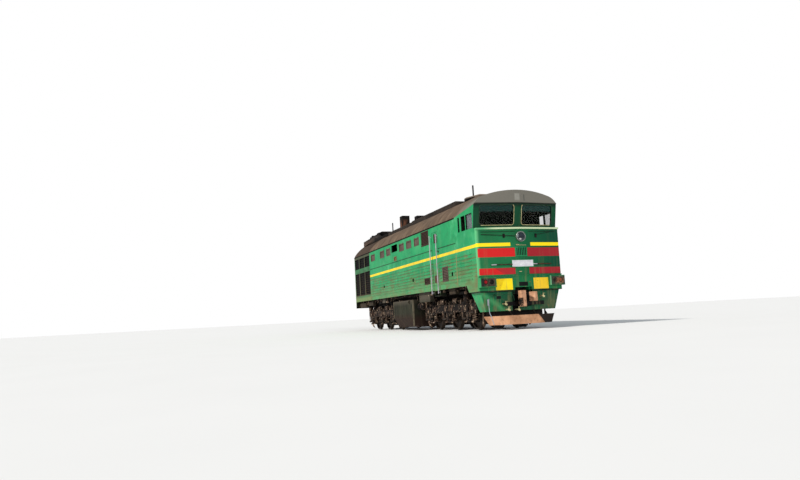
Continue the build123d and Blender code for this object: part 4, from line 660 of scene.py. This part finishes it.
class Build:
    """Collects the faces of one piece, in metres in the row frame."""

    def __init__(self):
        self.bm = bmesh.new()

    def box(self, x0, x1, y0, y1, z0, z1):
        made = bmesh.ops.create_cube(self.bm, size=1)["verts"]
        bmesh.ops.scale(self.bm, vec=(x1 - x0, y1 - y0, z1 - z0), verts=made)
        bmesh.ops.translate(self.bm, vec=((x0 + x1) / 2, (y0 + y1) / 2, (z0 + z1) / 2), verts=made)

    def bar(self, x, half, *sides):
        """A box centred on x."""
        self.box(x - half, x + half, *sides)

    def rod(self, x, y, z, radius, sides=12, far=None):
        """A rod or cone. A coordinate in which its two ends differ is a pair."""
        a, b = (Vector([c[end] if isinstance(c, tuple) else c for c in (x, y, z)]) for end in (0, 1))
        turn = (b - a).to_track_quat("Z", "Y").to_matrix().to_4x4()
        bmesh.ops.create_cone(self.bm, cap_ends=True, segments=sides, radius1=radius,
                              radius2=radius if far is None else far, depth=(b - a).length,
                              matrix=Matrix.Translation((a + b) / 2) @ turn)

    def tube(self, path, radius, sides=8, closed=False):
        """A round tube along a path, its section carried on from ring to ring without a twist."""
        path = [Vector(p) for p in path]
        count = len(path)
        rings = []
        side = None
        for i, point in enumerate(path):
            before = path[i - 1] if (i or closed) else path[0]
            after = path[(i + 1) % count] if (i < count - 1 or closed) else path[-1]
            along = (after - before).normalized()
            if side is None:
                side = along.orthogonal().normalized()
            side = (side - along * side.dot(along)).normalized()
            other = along.cross(side)
            rings.append([self.bm.verts.new(point + (side * u + other * v) * radius)
                          for u, v in circle(sides, 1)])
        for i in range(0 if closed else 1, count):
            one, two = rings[i - 1], rings[i]
            for k in range(sides):
                self.bm.faces.new((one[k - 1], one[k], two[k], two[k - 1]))
        if not closed:
            self.bm.faces.new(list(reversed(rings[0])))
            self.bm.faces.new(rings[-1])

    def bolts(self, y, spots, radius, height=0.01):
        """Hexagon heads at (x, z) spots, standing out to the right from y."""
        for x, z in spots:
            self.rod(x, (y, y - height), z, radius, 6)

    def mirror(self):
        """Adds the mirror image on the other side of the centre line."""
        everything = self.bm.verts[:] + self.bm.edges[:] + self.bm.faces[:]
        made = bmesh.ops.duplicate(self.bm, geom=everything)["geom"]
        verts = [g for g in made if isinstance(g, bmesh.types.BMVert)]
        faces = [g for g in made if isinstance(g, bmesh.types.BMFace)]
        bmesh.ops.scale(self.bm, vec=(1, -1, 1), verts=verts)
        bmesh.ops.reverse_faces(self.bm, faces=faces)
        return self

    def piece(self, name, material, bevel=0, body="body", smooth=40):
        bmesh.ops.recalc_face_normals(self.bm, faces=self.bm.faces[:])
        mesh = bpy.data.meshes.new(name)
        self.bm.to_mesh(mesh)
        self.bm.free()
        mesh.materials.append(MATERIALS[material])
        mesh.shade_smooth()
        mesh.set_sharp_from_angle(angle=radians(smooth))
        made = link(name, mesh)
        if bevel:
            rounding = made.modifiers.new("rounding", "BEVEL")
            rounding.width = bevel
            rounding.segments = 2
            rounding.limit_method = "ANGLE"
        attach(made, body)
        return made


def circle(count, radius, u=0, v=0, start=0):
    """Points round (u, v). start is the first one's place, in steps."""
    turns = [2 * pi * (n + start) / count for n in range(count)]
    return [(u + radius * cos(angle), v + radius * sin(angle)) for angle in turns]


def spread(a, b, parts):
    return [a + (b - a) * n / parts for n in range(parts + 1)]


def ramp(value, start, end):
    """0 at start and 1 at end, and level beyond them."""
    return min(max((value - start) / (end - start), 0), 1)


def helix(x, y, z0, z1, radius, turns, flat=0.75):
    """Centre line of a coil spring whose end turns lie flat."""
    return [(x + radius * cos(2 * pi * turn), y + radius * sin(2 * pi * turn),
             z0 + (z1 - z0) * ramp(turn, flat, turns - flat)) for turn in spread(0, turns, int(turns * 20))]


def coil_springs():
    """Coils between two seats, round a core, in place of the plain springs."""
    z0, z1 = SPRING_Z
    for end, _, axles, _ in BOGIES:
        b = Build()
        for axle in axles:
            for x in (axle - SPRING_X, axle + SPRING_X):
                for y in (-JOURNAL_Y, JOURNAL_Y):
                    b.tube(helix(x, y, z0 + 0.032, z1 - 0.032, 0.08, 5.5), 0.0165)
                    b.rod(x, y, (z0, z0 + 0.016), 0.098, 20)
                    b.rod(x, y, (z1 - 0.016, z1), 0.098, 20)
                    b.rod(x, y, (z0, z1), 0.03)
        made = b.piece(f"coil_springs_{end}", "sand_and_highlight_gear", body=f"bogie_{end}")
        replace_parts(made, f"springs_{end}")


def bogie_details():
    """Axle-box covers, links, dampers, brake rods and sand pipes of each bogie."""
    z = AXLE_Z
    for end, centre, axles, cylinders in BOGIES:
        body = f"bogie_{end}"
        covers, rods, pipes = Build(), Build(), Build()
        for x in axles:
            covers.bolts(-1.234, circle(8, 0.11, x, z, 0.5), 0.013)
            covers.rod(x, (-1.234, -1.246), z, 0.075, 24)
            for way in (-1, 1):
                link_x, link_z = x + way * 0.46, z + 0.1 * way
                covers.rod((x + way * 0.17, link_x), -1.2, link_z, 0.03, 10)
                covers.rod(link_x, (-1.13, -1.235), link_z, 0.045, 14)
                covers.bar(link_x, 0.03, -1.17, -1.14, link_z, 0.74)
            rods.rod(x, -1.19, (0.8, 0.98), 0.055, 16)
            rods.rod(x, -1.19, (0.7, 0.8), 0.028, 10)
            rods.bar(x, 0.08, -1.2, -1.155, 0.86, 0.97)
        for x in cylinders:
            rods.rod((x - 0.185, x - 0.172), -JOURNAL_Y, CYLINDER_Z, 0.132, 24)
            rods.rod((x + 0.172, x + 0.185), -JOURNAL_Y, CYLINDER_Z, 0.132, 24)
            arm = x + 0.29
            rods.bar(arm, 0.02, -1.11, -1.09, 0.8, 1.17)
            rods.bolts(-1.11, [(arm, CYLINDER_Z), (arm, 0.84)], 0.028, 0.02)
            rods.rod((arm, arm + 0.35), -1.105, 0.815, 0.018, 8)
        rods.rod((centre - 2.3, centre + 2.3), -1.185, 0.705, 0.02, 8)
        for way in (-1, 1):
            def out(distance):
                return centre + way * (1.85 + distance)

            pipes.tube([(out(0.66), -1.02, 1.02), (out(0.78), -1.01, 0.98), (out(0.82), -1, 0.88),
                        (out(0.82), -1, 0.58), (out(0.74), -0.98, 0.24), (out(0.64), -0.9, 0.12)], 0.026, 10)
            pipes.rod((out(0.75), out(0.69)), (-0.98, -0.94), (0.27, 0.18), 0.04)
            pipes.rod((out(0.68), out(0.83)), (-1.03, -1), (0.8, 0.64), 0.02, 8)
            pipes.bar(out(0.82), 0.04, -1.04, -0.96, 0.62, 0.66)
            pipes.bar(out(0.62), 0.11, -1.165, -0.98, 0.995, 1.2)
        pipes.rod((centre - 2.45, centre + 2.45), -0.955, 0.93, 0.02, 8)
        covers.mirror().piece(f"axle_box_fittings_{end}", "steel", 0.003, body)
        rods.mirror().piece(f"brake_rods_{end}", "gear", 0.003, body)
        pipes.mirror().piece(f"sand_pipes_{end}", "sand_and_highlight_gear", 0.003, body)


def gear_details():
    """Hangers, caps, levers, pipes and valves on both sides of each bogie."""
    z = AXLE_Z
    for end, centre, axles, cylinders in BOGIES:
        body = f"bogie_{end}"
        light, dark = Build(), Build()
        for x in axles:
            light.bar(x, 0.12, -1.232, -1.19, z + 0.085, z + 0.12)
            light.rod(x, (-1.246, -1.256), z, 0.042, 16)
            for way in (-1, 1):
                spring = x + way * SPRING_X
                light.bar(spring, 0.055, -1.186, -1.162, 0.745, 0.86)
                light.bolts(-1.186, [(spring - 0.035, 0.83), (spring + 0.035, 0.83)], 0.014, 0.012)
                light.bar(spring, 0.085, -1.19, -1.17, 0.3, 0.335)
                hanger = x + way * 0.56
                dark.rod(hanger, -0.93, (0.98, 0.42), 0.024, 8)
                dark.rod(hanger, (-0.93, -1.02), 0.58, 0.035)
                light.rod(hanger, (-1.02, -1.05), 0.58, 0.03)
                light.bar(hanger, 0.035, -1.19, -1.165, 0.6, 0.74)
                light.bar(hanger, 0.02, -1.185, -1.17, 0.46, 0.62)
                dark.rod((hanger, hanger - way * 0.24), -1.178, (0.47, 0.42), 0.018, 8)
        for n, offset in enumerate((-2.34, -1.98, -1.52, -1.12, -0.28, 0, 0.28, 1.12, 1.52, 1.98, 2.34)):
            x = centre + offset
            top = 0.99 + 0.05 + 0.035 * (n * 5 % 4)
            which = light if n % 2 else dark
            which.bar(x, 0.045, -1.15, -1.02, 0.985, top)
            which.rod(x, -1.09, (top, top + 0.04), 0.03, 12, 0.018)
            light.rod(x + 0.11, (-1.166, -1.196), 0.9, 0.03, 12, 0.022)
        for x in cylinders:
            for at in (x - 0.13, x, x + 0.13):
                light.rod((at - 0.02, at + 0.02), -JOURNAL_Y, CYLINDER_Z, 0.1275, 28)
            light.rod((x + 0.2, x + 0.25), -JOURNAL_Y, CYLINDER_Z, 0.05, 16)
        for x0, x1, height in ((centre - 2.2, centre - 0.9, 1.03), (centre + 0.95, centre + 2.25, 1.045)):
            dark.rod((x0, x1), -1.13, height, 0.016, 8)
            dark.rod((x0 + 0.1, x1 - 0.15), -1.05, height + 0.05, 0.014, 8)
        light.bar(centre, 0.1, -1.188, -1.165, 0.76, 0.95)
        light.bolts(-1.188, [(centre + a, b) for a in (-0.07, 0.07) for b in (0.79, 0.92)], 0.014, 0.012)
        light.mirror().piece(f"bogie_fittings_{end}", "sand_and_highlight_gear", 0.003, body)
        dark.mirror().piece(f"brake_levers_{end}", "gear", 0.003, body)


def screen_x(y, z):
    """The raked windscreen's outer face, z above the rail."""
    return FRONT_X - 0.165 + 0.170 * (z - 3.435) / 0.835 + CREASE * (1 - abs(y) / BODY_HALF)


def nose_x(y):
    """Outer face of the nose, blunt at its crease."""
    return FRONT_X + CREASE * (1 - abs(y) / BODY_HALF) - max(0, 0.14 - abs(y)) * 0.09


def rounded(y0, y1, z0, z1, radius, steps=6):
    """A rounded rectangle's corner points, going round."""
    y0, y1, z0, z1 = y0 + radius, y1 - radius, z0 + radius, z1 - radius
    return [(y + radius * cos(angle), z + radius * sin(angle))
            for n, (y, z) in enumerate(((y1, z1), (y0, z1), (y0, z0), (y1, z0)))
            for angle in spread(n * pi / 2, (n + 1) * pi / 2, steps)]


def screen_loop(y0, y1):
    """The edge of a windscreen, z above the rail."""
    return rounded(y0, y1, 3.535, 4.22, 0.085)


def windscreen_details():
    """Rubber seals, with cream painted highlights on the edges that catch the light, and the wipers."""
    seals = Build()
    seals.tube([(screen_x(y, z) + 0.004, -y, z + RAIL) for y, z in screen_loop(0.145, 1.405)],
               0.015, closed=True)
    seals.mirror().piece("windscreen_seals", "seal")
    # Painted highlight: cream along the seal edges that catch the light.
    edges = Build()
    right, left = screen_loop(-1.405, -0.145), screen_loop(0.145, 1.405)
    for part in (right[19:] + right[:5], left[9:23]):
        edges.tube([(screen_x(y, z) + 0.013, y, z + RAIL) for y, z in part], 0.0125)
    edges.piece("seal_highlights", "cream")
    wipers = Build()
    for y, a, b in ((-0.61, -0.2, -1.45), (0.62, 0.3, 1.42)):
        foot = nose_x(y)
        wipers.box(foot - 0.005, foot + 0.035, y - 0.035, y + 0.035, 3.11, 3.24)
        wipers.rod((foot + 0.03, foot + 0.075), y, 3.2, 0.016)
        wipers.tube([(nose_x(k) + 0.045, k, 3.318) for k in spread(a, b, 10)], 0.008, 6)
        if y < 0:
            wipers.tube([(nose_x(k) + 0.055, k, 3.155 + 0.06 * (a - k)) for k in spread(a, b, 12)], 0.011, 6)
        else:
            wipers.rod((foot + 0.065, nose_x(1.2) + 0.055), (y, 1.2), (3.2, 3.3), 0.007, 6)
    wipers.piece("wipers", "rubber", 0.003)


def headlamp_details():
    """The headlamp's lens, a pale blob on it as a painted glint, and the bezel."""
    for name, cuts, radius, place, squash, key in (
            ("headlamp_lens", (32, 12), 0.157, (8.214, 0, 3.14), (0.16, 1, 1, 1), "lens"),
            # A pale blob on the lens: its painted glint.
            ("painted_lens_glint", (20, 8), 0.045, (8.229, -0.035, 3.055), (0.2, 1.2, 0.75, 1), "pale")):
        ball = Build()
        bmesh.ops.create_uvsphere(ball.bm, u_segments=cuts[0], v_segments=cuts[1], radius=radius,
                                  matrix=Matrix.Translation(place) @ Matrix.Diagonal(squash))
        ball.piece(name, key, smooth=80)
    bezel = Build()
    bezel.tube([(8.23, y, z) for y, z in circle(40, 0.169, 0, 3.14)], 0.009, closed=True)
    bezel.piece("headlamp_bezel", "chrome")


def marker_details():
    """The marker lamps and their rims."""
    lamp_z = 1.62
    for name, places, key in (("red_lens", (-1.44,), "red_lens"), ("dark_lenses", (-1.22, 1.20), "under"),
                              ("amber_lens", (1.42,), "amber")):
        lamps = Build()
        for y in places:
            lamps.rod((8.19, 8.222), y, lamp_z, 0.062, 24, 0.05)
        lamps.piece(name, key, 0.006)
    rims = Build()
    for at in (-1.44, -1.22):
        rims.tube([(8.205, y, z) for y, z in circle(24, 0.07, at, lamp_z)], 0.012, 6, closed=True)
    rims.mirror().piece("lamp_rims", "gear")


def nose_details():
    """The blank plate with its rim, the grille and small brackets."""
    plate = Build()
    plate.box(8.185, 8.205, -0.41, 0.41, 2.1, 2.335)
    for y0, y1 in ((-0.36, -0.33), (0.33, 0.36)):
        plate.box(8.12, 8.19, y0, y1, 2.14, 2.3)
    plate.piece("blank_plate", "plate", 0.006)
    rim = Build()
    rim.tube([(8.206, y, z) for y, z in rounded(-0.41, 0.41, 2.1, 2.335, 0.02, 3)], 0.008, 6, closed=True)
    rim.piece("plate_rim", "green")
    grille = Build()
    for y in spread(-0.195, 0.195, 6):
        grille.box(nose_x(y) - 0.01, nose_x(y) + 0.006, y - 0.011, y + 0.011, 2.49, 2.77)
    for z in (2.48, 2.775):
        grille.box(8.145, nose_x(0.1) + 0.008, -0.215, 0.215, z - 0.008, z + 0.008)
    grille.piece("nose_grille", "green", 0.003)
    small = Build()
    small.box(nose_x(0.1) - 0.01, nose_x(0.1) + 0.03, -0.19, -0.08, 2.855, 2.875)
    small.tube([(nose_x(y) + 0.012, y, 2.845) for y in (-0.18, -0.08, 0.02, 0.12, 0.2)], 0.008, 6)
    small.box(8.16, 8.21, -0.15, -0.05, 1.93, 1.955)
    small.piece("nose_brackets", "cream", 0.004)


def coupler_details():
    """End cocks, the uncoupling lever and what hangs round the coupler."""
    cocks = Build()
    for y, z in ((-0.74, 0.88), (0.71, 1.1), (-0.64, 0.69), (-0.26, 0.68)):
        cocks.rod((7.95, 8.17), y, z, 0.024)
        cocks.rod((8.15, 8.235), y, (z, z - 0.03), 0.036)
        cocks.rod(8.19, y, (z + 0.02, z + 0.075), 0.014, 8)
        cocks.box(8.18, 8.2, y - 0.02, y + 0.075, z + 0.07, z + 0.085)
    cocks.piece("end_cocks", "cream", 0.003)
    lever = Build()
    lever.tube([(8.17, -1.32, 1.05), (8.19, -1.3, 1.16), (8.19, -1.05, 1.19), (8.21, -0.5, 1.19),
                (8.21, -0.45, 1.12), (8.21, -0.43, 0.98)], 0.009)
    lever.box(8, 8.2, -1.08, -1.05, 1.15, 1.22)
    lever.piece("uncoupling_lever", "lever", 0.003)
    rod = Build()
    rod.box(7.93, 7.985, -1.295, -1.255, 0.84, 1.05)
    rod.tube([(7.985, -1.26, 1.07), (8, -1.28, 0.8), (8.02, -1.28, 0.6), (8.12, -1.27, 0.46),
              (8.13, -1.2, 0.2)], 0.013)
    rod.piece("guard_rod", "blind", 0.003)
    bridge = Build()
    bridge.box(8, 8.028, -0.14, 0.385, 0.64, 0.775)
    bridge.box(7.97, 8, 0.33, 0.45, 0.64, 0.9)
    bridge.piece("skirt_bridge", "lever", 0.004)


def backings():
    """Plates and linings behind the openings, which keep daylight from crossing the body; dark, they stand
    for the shade inside it.
    """
    dark = Build()
    dark.box(7.6, 7.64, -0.5, 0.78, 0.66, 1.36)
    dark.box(7.66, 7.69, -1.22, 0.93, 0.47, 0.72)
    for y in (-1.15, -0.4, 0.2, 0.75):
        dark.box(7.62, 7.67, y - 0.03, y + 0.03, 0.5, 1.32)
    dark.piece("front_backing", "under", 0.003)
    backs = Build()
    backs.box(-1.5, 0.1, -1.2, -1.18, 3.3, 4.06)
    for x in (-1.45, -0.7, 0.05):
        backs.bar(x, 0.03, -1.22, -1.2, 3.3, 4.06)
    for x in (5.86, 1.65, -2.51):
        backs.bar(x, 0.16, -1.5, -1.49, 1.9, 2.3)
    backs.mirror().piece("opening_linings", "under", 0.002)
    for name, key, *sides in (("cab_blind", "blind", 7.285, 7.775, -1.548, -1.542, 3.52, 4.02),
                              ("slit_panel", "lining", 6.56, 6.78, 1.542, 1.548, 3.47, 4.04)):
        panel = Build()
        panel.box(*sides)
        panel.piece(name, key, 0.001)


def side_details():
    """Seams, rain strips, door handles, hatch hinges, sill pipes and air reservoirs."""
    trim = Build()
    for x in (6.3, 2.9, -4.83):
        trim.bar(x, 0.018, -1.606, -1.599, 1.6, 4.05)
    trim.mirror().piece("side_seams", "side", 0.003)
    # The rain strips are painted dark as the shadow under the eave.
    gutter = Build()
    gutter.box(-7.93, 6.3, -1.613, -1.598, 4.046, 4.094)
    gutter.mirror().piece("eave_strips", "eave", 0.003)
    knobs = Build()
    knobs.rod(4.655, (-1.6, -1.64), 3.05, 0.035, 14)
    for x0, x1 in ((-1.91, -1.28), (-2.94, -2.26), (0.03, 0.68), (1.01, 1.66), (2, 2.6), (-4.57, -3.87)):
        for x in (x0 + 0.12, x1 - 0.12):
            knobs.bar(x, 0.03, -1.607, -1.585, 3.87, 3.91)
        knobs.bar((x0 + x1) / 2, 0.02, -1.605, -1.585, 3.56, 3.6)
    knobs.mirror().piece("side_fittings", "gear", 0.003)
    lines = Build()
    lines.rod((-7, 6.7), -1.33, 1.53, 0.022, 8)
    lines.rod((-6.9, 6.6), -1.24, 1.5, 0.016, 8)
    for x in (1.35, 1.62, -1.75, -2.02):
        lines.tube([(x, -1.33, 1.53), (x, -1.33, 1.3), (x, -1.2, 1.2), (x, -0.9, 1.18)], 0.018)
    lines.mirror().piece("sill_pipes", "gear")
    tanks = Build()
    for x in (1.42, 1.74):
        tanks.rod(x, (-1.3, -0.3), 1.02, 0.15, 24)
        tanks.rod(x, (-1.36, -1.3), 1.02, 0.08, 24, 0.15)
        tanks.rod(x, (-0.3, -0.24), 1.02, 0.15, 24, 0.08)
        for y in (-1.18, -0.48):
            tanks.bar(x, 0.02, y - 0.02, y + 0.02, 1.15, 1.45)
    tanks.mirror().piece("air_reservoirs", "gear", 0.004)


def sill_details():
    """Boxes, cocks and studs that hang under the sill, and the wiring ducts between the long beams."""
    boxes = Build()
    for x0, x1, z0, z1, y in ((5.11, 5.7, 1.36, 1.57, -1.44), (-7.61, -6.38, 1.24, 1.49, -1.45),
                              (-5.93, -5.09, 1.29, 1.51, -1.44)):
        boxes.box(x0, x1, y, y + 0.16, z0, z1)
        boxes.box(x0 + 0.03, x1 - 0.03, y - 0.012, y + 0.01, z0 + 0.03, z1 - 0.03)
        for x in (x0 + 0.08, x1 - 0.08):
            boxes.bar(x, 0.025, y + 0.03, y + 0.05, z1 - 0.02, 1.62)
    boxes.mirror().piece("sill_boxes", "box", 0.004)
    bits = Build()
    bits.bolts(-1.468, [(2.03, 1.49), (2.75, 1.49), (2.08, 1.4), (3.05, 1.42)], 0.024, 0.02)
    bits.bolts(-1.49, [(-0.56, 1.34), (-0.27, 1.34)], 0.024, 0.02)
    for x, y, z, radius in ((4.72, -1.45, 1.5, 0.05), (6.47, -1.36, 1.36, 0.06), (-6.05, -1.42, 1.4, 0.045),
                            (3.35, -1.42, 1.44, 0.04), (-2.6, -1.42, 1.38, 0.05)):
        bits.rod(x, (y, y - 0.07), z, radius, 18, radius * 0.8)
        bits.bar(x, 0.02, y - 0.03, y, z, 1.6)
    for n in range(26):
        x = -7.3 + 0.56 * n
        beside_tank, beside_door = -1.6 < x < 1.3, 4.0 < x < 4.7
        if beside_tank or beside_door:
            continue
        bits.bar(x, 0.02, -1.37, -1.34, 1.6 - 0.06 - 0.05 * (n * 7 % 4), 1.6)
        bits.rod(x + 0.16, (-1.36, -1.39), 1.53 - 0.03 * (n % 3), 0.028)
    bits.mirror().piece("sill_bits", "sand_and_highlight_gear", 0.003)
    ducts = Build()
    for x0, x1 in ((1.25, 7.1), (-7.85, -1.55)):
        ducts.box(x0, x1, -0.336, -0.306, 1.09, 1.46)
        for n in range(5):
            ducts.bar(x0 + (x1 - x0) * (n + 0.5) / 5, 0.03, -0.345, -0.306, 1.1, 1.5)
    ducts.mirror().piece("wiring_ducts", "under", 0.004)


def pad(name, place, long, wide, thick, crown):
    """A stuffed pad: crowned on its face with two seams, flat behind, its edges drawn in."""
    b = Build()
    steps = 24

    def point(i, j, face):
        u, v = 2 * i / steps - 1, 2 * j / steps - 1
        corner = 1 - 0.06 * u * u * v * v
        x = long / 2 * u * (1 - 0.045 * (1 - v * v)) * corner
        y = wide / 2 * v * (1 - 0.045 * (1 - u * u)) * corner
        full = max(0, (1 - u**6) * (1 - v**6))
        if face > 0:
            z = thick * 0.45 * full**0.42 + crown * (1 - u * u) * (1 - v * v)
            for seam in (-0.34, 0.34):
                z -= 0.009 * exp(-((v - seam) / 0.045) ** 2) * full
        else:
            z = -thick * 0.4 * min(1, 1.7 * full**0.5)
        return place @ Vector((x, y, z))

    top, low = {}, {}
    for i in range(steps + 1):
        for j in range(steps + 1):
            top[i, j] = b.bm.verts.new(point(i, j, 1))
            edge = i in (0, steps) or j in (0, steps)
            low[i, j] = top[i, j] if edge else b.bm.verts.new(point(i, j, -1))
    for i in range(steps):
        for j in range(steps):
            b.bm.faces.new((top[i, j], top[i + 1, j], top[i + 1, j + 1], top[i, j + 1]))
            b.bm.faces.new((low[i, j], low[i, j + 1], low[i + 1, j + 1], low[i + 1, j]))
    made = b.piece(name, "seat", smooth=75)


def seats():
    """Two driver's seats: steel pans on posts, each with a stuffed cushion and back."""
    pans = Build()
    lean = atan2(0.08, 0.68)
    x, z = SEAT_X, SEAT_FLOOR
    for y, label in ((-0.8, "right"), (0.8, "left")):
        pans.rod(x, y, (z, z + 0.415), 0.055, 24)
        pans.rod(x, y, (z, z + 0.02), 0.12, 24)
        pans.box(x - 0.2, x + 0.22, y - 0.21, y + 0.21, z + 0.41, z + 0.43)
        back = Matrix.Translation((x - 0.235, y, z + 0.855)) @ Matrix.Rotation(-lean, 4, "Y")
        bmesh.ops.create_cube(pans.bm, size=1, matrix=back @ Matrix.Diagonal((0.018, 0.42, 0.66, 1)))
        for side in (y - 0.15, y + 0.15):
            bends = ((0.16, 0.42), (0.215, 0.42), (0.24, 0.6))
            pans.tube([(x - behind, side, z + above) for behind, above in bends], 0.014)
        pad(f"seat_cushion_{label}", Matrix.Translation((x + 0.01, y, z + 0.475)), 0.45, 0.46, 0.08, 0.014)
        up = back @ Matrix.Translation((0.052, 0, 0.02)) @ Matrix.Rotation(radians(90), 4, "Y")
        pad(f"seat_back_{label}", up, 0.64, 0.46, 0.075, 0.012)
    pans = pans.piece("seat_frames", "machine", 0.003)
    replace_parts(pans, "cab_seats")


def tank_details():
    """Pale edges at the fuel tank's corners, its filler, straps and end plates."""
    edge = Build()
    for x0, x1 in ((-1.464, -1.438), (1.138, 1.164)):
        edge.box(x0, x1, -1.515, -1.44, 0.55, 1.33)
    edge.box(1.15, 1.164, -1.515, -1.45, 0.21, 0.56)
    edge.mirror().piece("tank_edges", "pale_edge", 0.003)
    parts = Build()
    parts.rod(0.75, (-1.46, -1.56), (1.22, 1.27), 0.06, 16)
    parts.rod(0.75, (-1.555, -1.575), (1.268, 1.278), 0.07, 16)
    for x in (-0.9, -0.3, 0.3):
        parts.bar(x, 0.02, -1.506, -1.49, 0.57, 1.28)
    parts.box(1.151, 1.161, -1.452, -1.16, 0.21, 0.6)
    parts.mirror().piece("tank_fittings", "tank", 0.003)


def roof_height(y):
    y = min(abs(y), EAVE_Y + EAVE_R)
    if y < ARC_R * sin(ARC_LEAN):
        return ARC_Z + sqrt(ARC_R**2 - y**2) + RAIL
    return EAVE_Z + sqrt(EAVE_R**2 - (y - EAVE_Y)**2) + RAIL


def roof_point(x, t):
    """A point on the body roof, t from the right eave to the left one."""
    wide, small = ARC_R * ARC_LEAN, EAVE_R * (EAVE_LEAN - ARC_LEAN)
    along = abs(2 * t - 1) * (wide + small)
    if along < wide:
        angle = along / ARC_R
        y, z = ARC_R * sin(angle), ARC_Z + ARC_R * cos(angle)
    else:
        angle = ARC_LEAN + (along - wide) / EAVE_R
        y, z = EAVE_Y + EAVE_R * sin(angle), EAVE_Z + EAVE_R * cos(angle)
    return (x, y if t > 0.5 else -y, z + RAIL)


def roof_details():
    straps = Build()
    for x in (-7.9, -5.1, -4.86, -2.9, -0.6, 2.04, 4.6, 6.28):
        straps.tube([roof_point(x, t) for t in spread(0, 1, 40)], 0.012, 6)
    straps.piece("roof_seams", "roof")


def settle_roof():
    """The cowl slopes down to the cab and the raised roof falls away ahead of its flaps, as in the photo."""
    slope_start, slope_end = -6.2, -5.6
    cowl_rear, cowl_front = 4.99, 6.29
    for node, name, key in (("roof_casings", "roof_covers", "casing"), ("roof_vents", "roof_flaps", "vent")):
        b = Build()
        b.bm.from_mesh(NODES[node].data)
        bmesh.ops.transform(b.bm, matrix=NODES[node].matrix_world, verts=b.bm.verts[:])
        bmesh.ops.remove_doubles(b.bm, verts=b.bm.verts[:], dist=1e-5)
        everything = b.bm.verts[:] + b.bm.edges[:] + b.bm.faces[:]
        bmesh.ops.bisect_plane(b.bm, geom=everything, dist=1e-5, plane_co=(slope_start, 0, 0),
                               plane_no=(1, 0, 0))
        for vert in b.bm.verts:
            x, y, z = vert.co
            roof = roof_height(y)
            if x > 4.95 and z > 5.06:
                vert.co.z -= 0.03 + 0.105 * ramp(x, cowl_rear, cowl_front)
            elif x < -4.7 and z > roof:
                low = ramp(x, slope_start, slope_end) * ramp(abs(y), 0.1, 0.5)
                vert.co.z = roof + (z - roof) * (1 - 0.65 * low)
        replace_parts(b.piece(name, key), node)


def rear_details():
    """Two grab rails and the ladder's rungs on the end wall."""
    bits = Build()
    for y in (-0.62, 0.62):
        bits.tube([(-7.93, y, 2.1), (-8, y, 2.1), (-8, y, 3.4), (-7.93, y, 3.4)], 0.016)
    for z in (1.75, 2.05, 2.35, 2.65, 2.95):
        bits.tube([(-7.93, 1, z), (-7.99, 1, z), (-7.99, 1.35, z), (-7.93, 1.35, z)], 0.014)
    bits.piece("rear_grabs", "pale")


set_camera()
set_lights()
set_floor()
dress_nodes()
coil_springs()
bogie_details()
windscreen_details()
headlamp_details()
nose_details()
marker_details()
coupler_details()
backings()
side_details()
sill_details()
gear_details()
seats()
tank_details()
roof_details()
settle_roof()
rear_details()
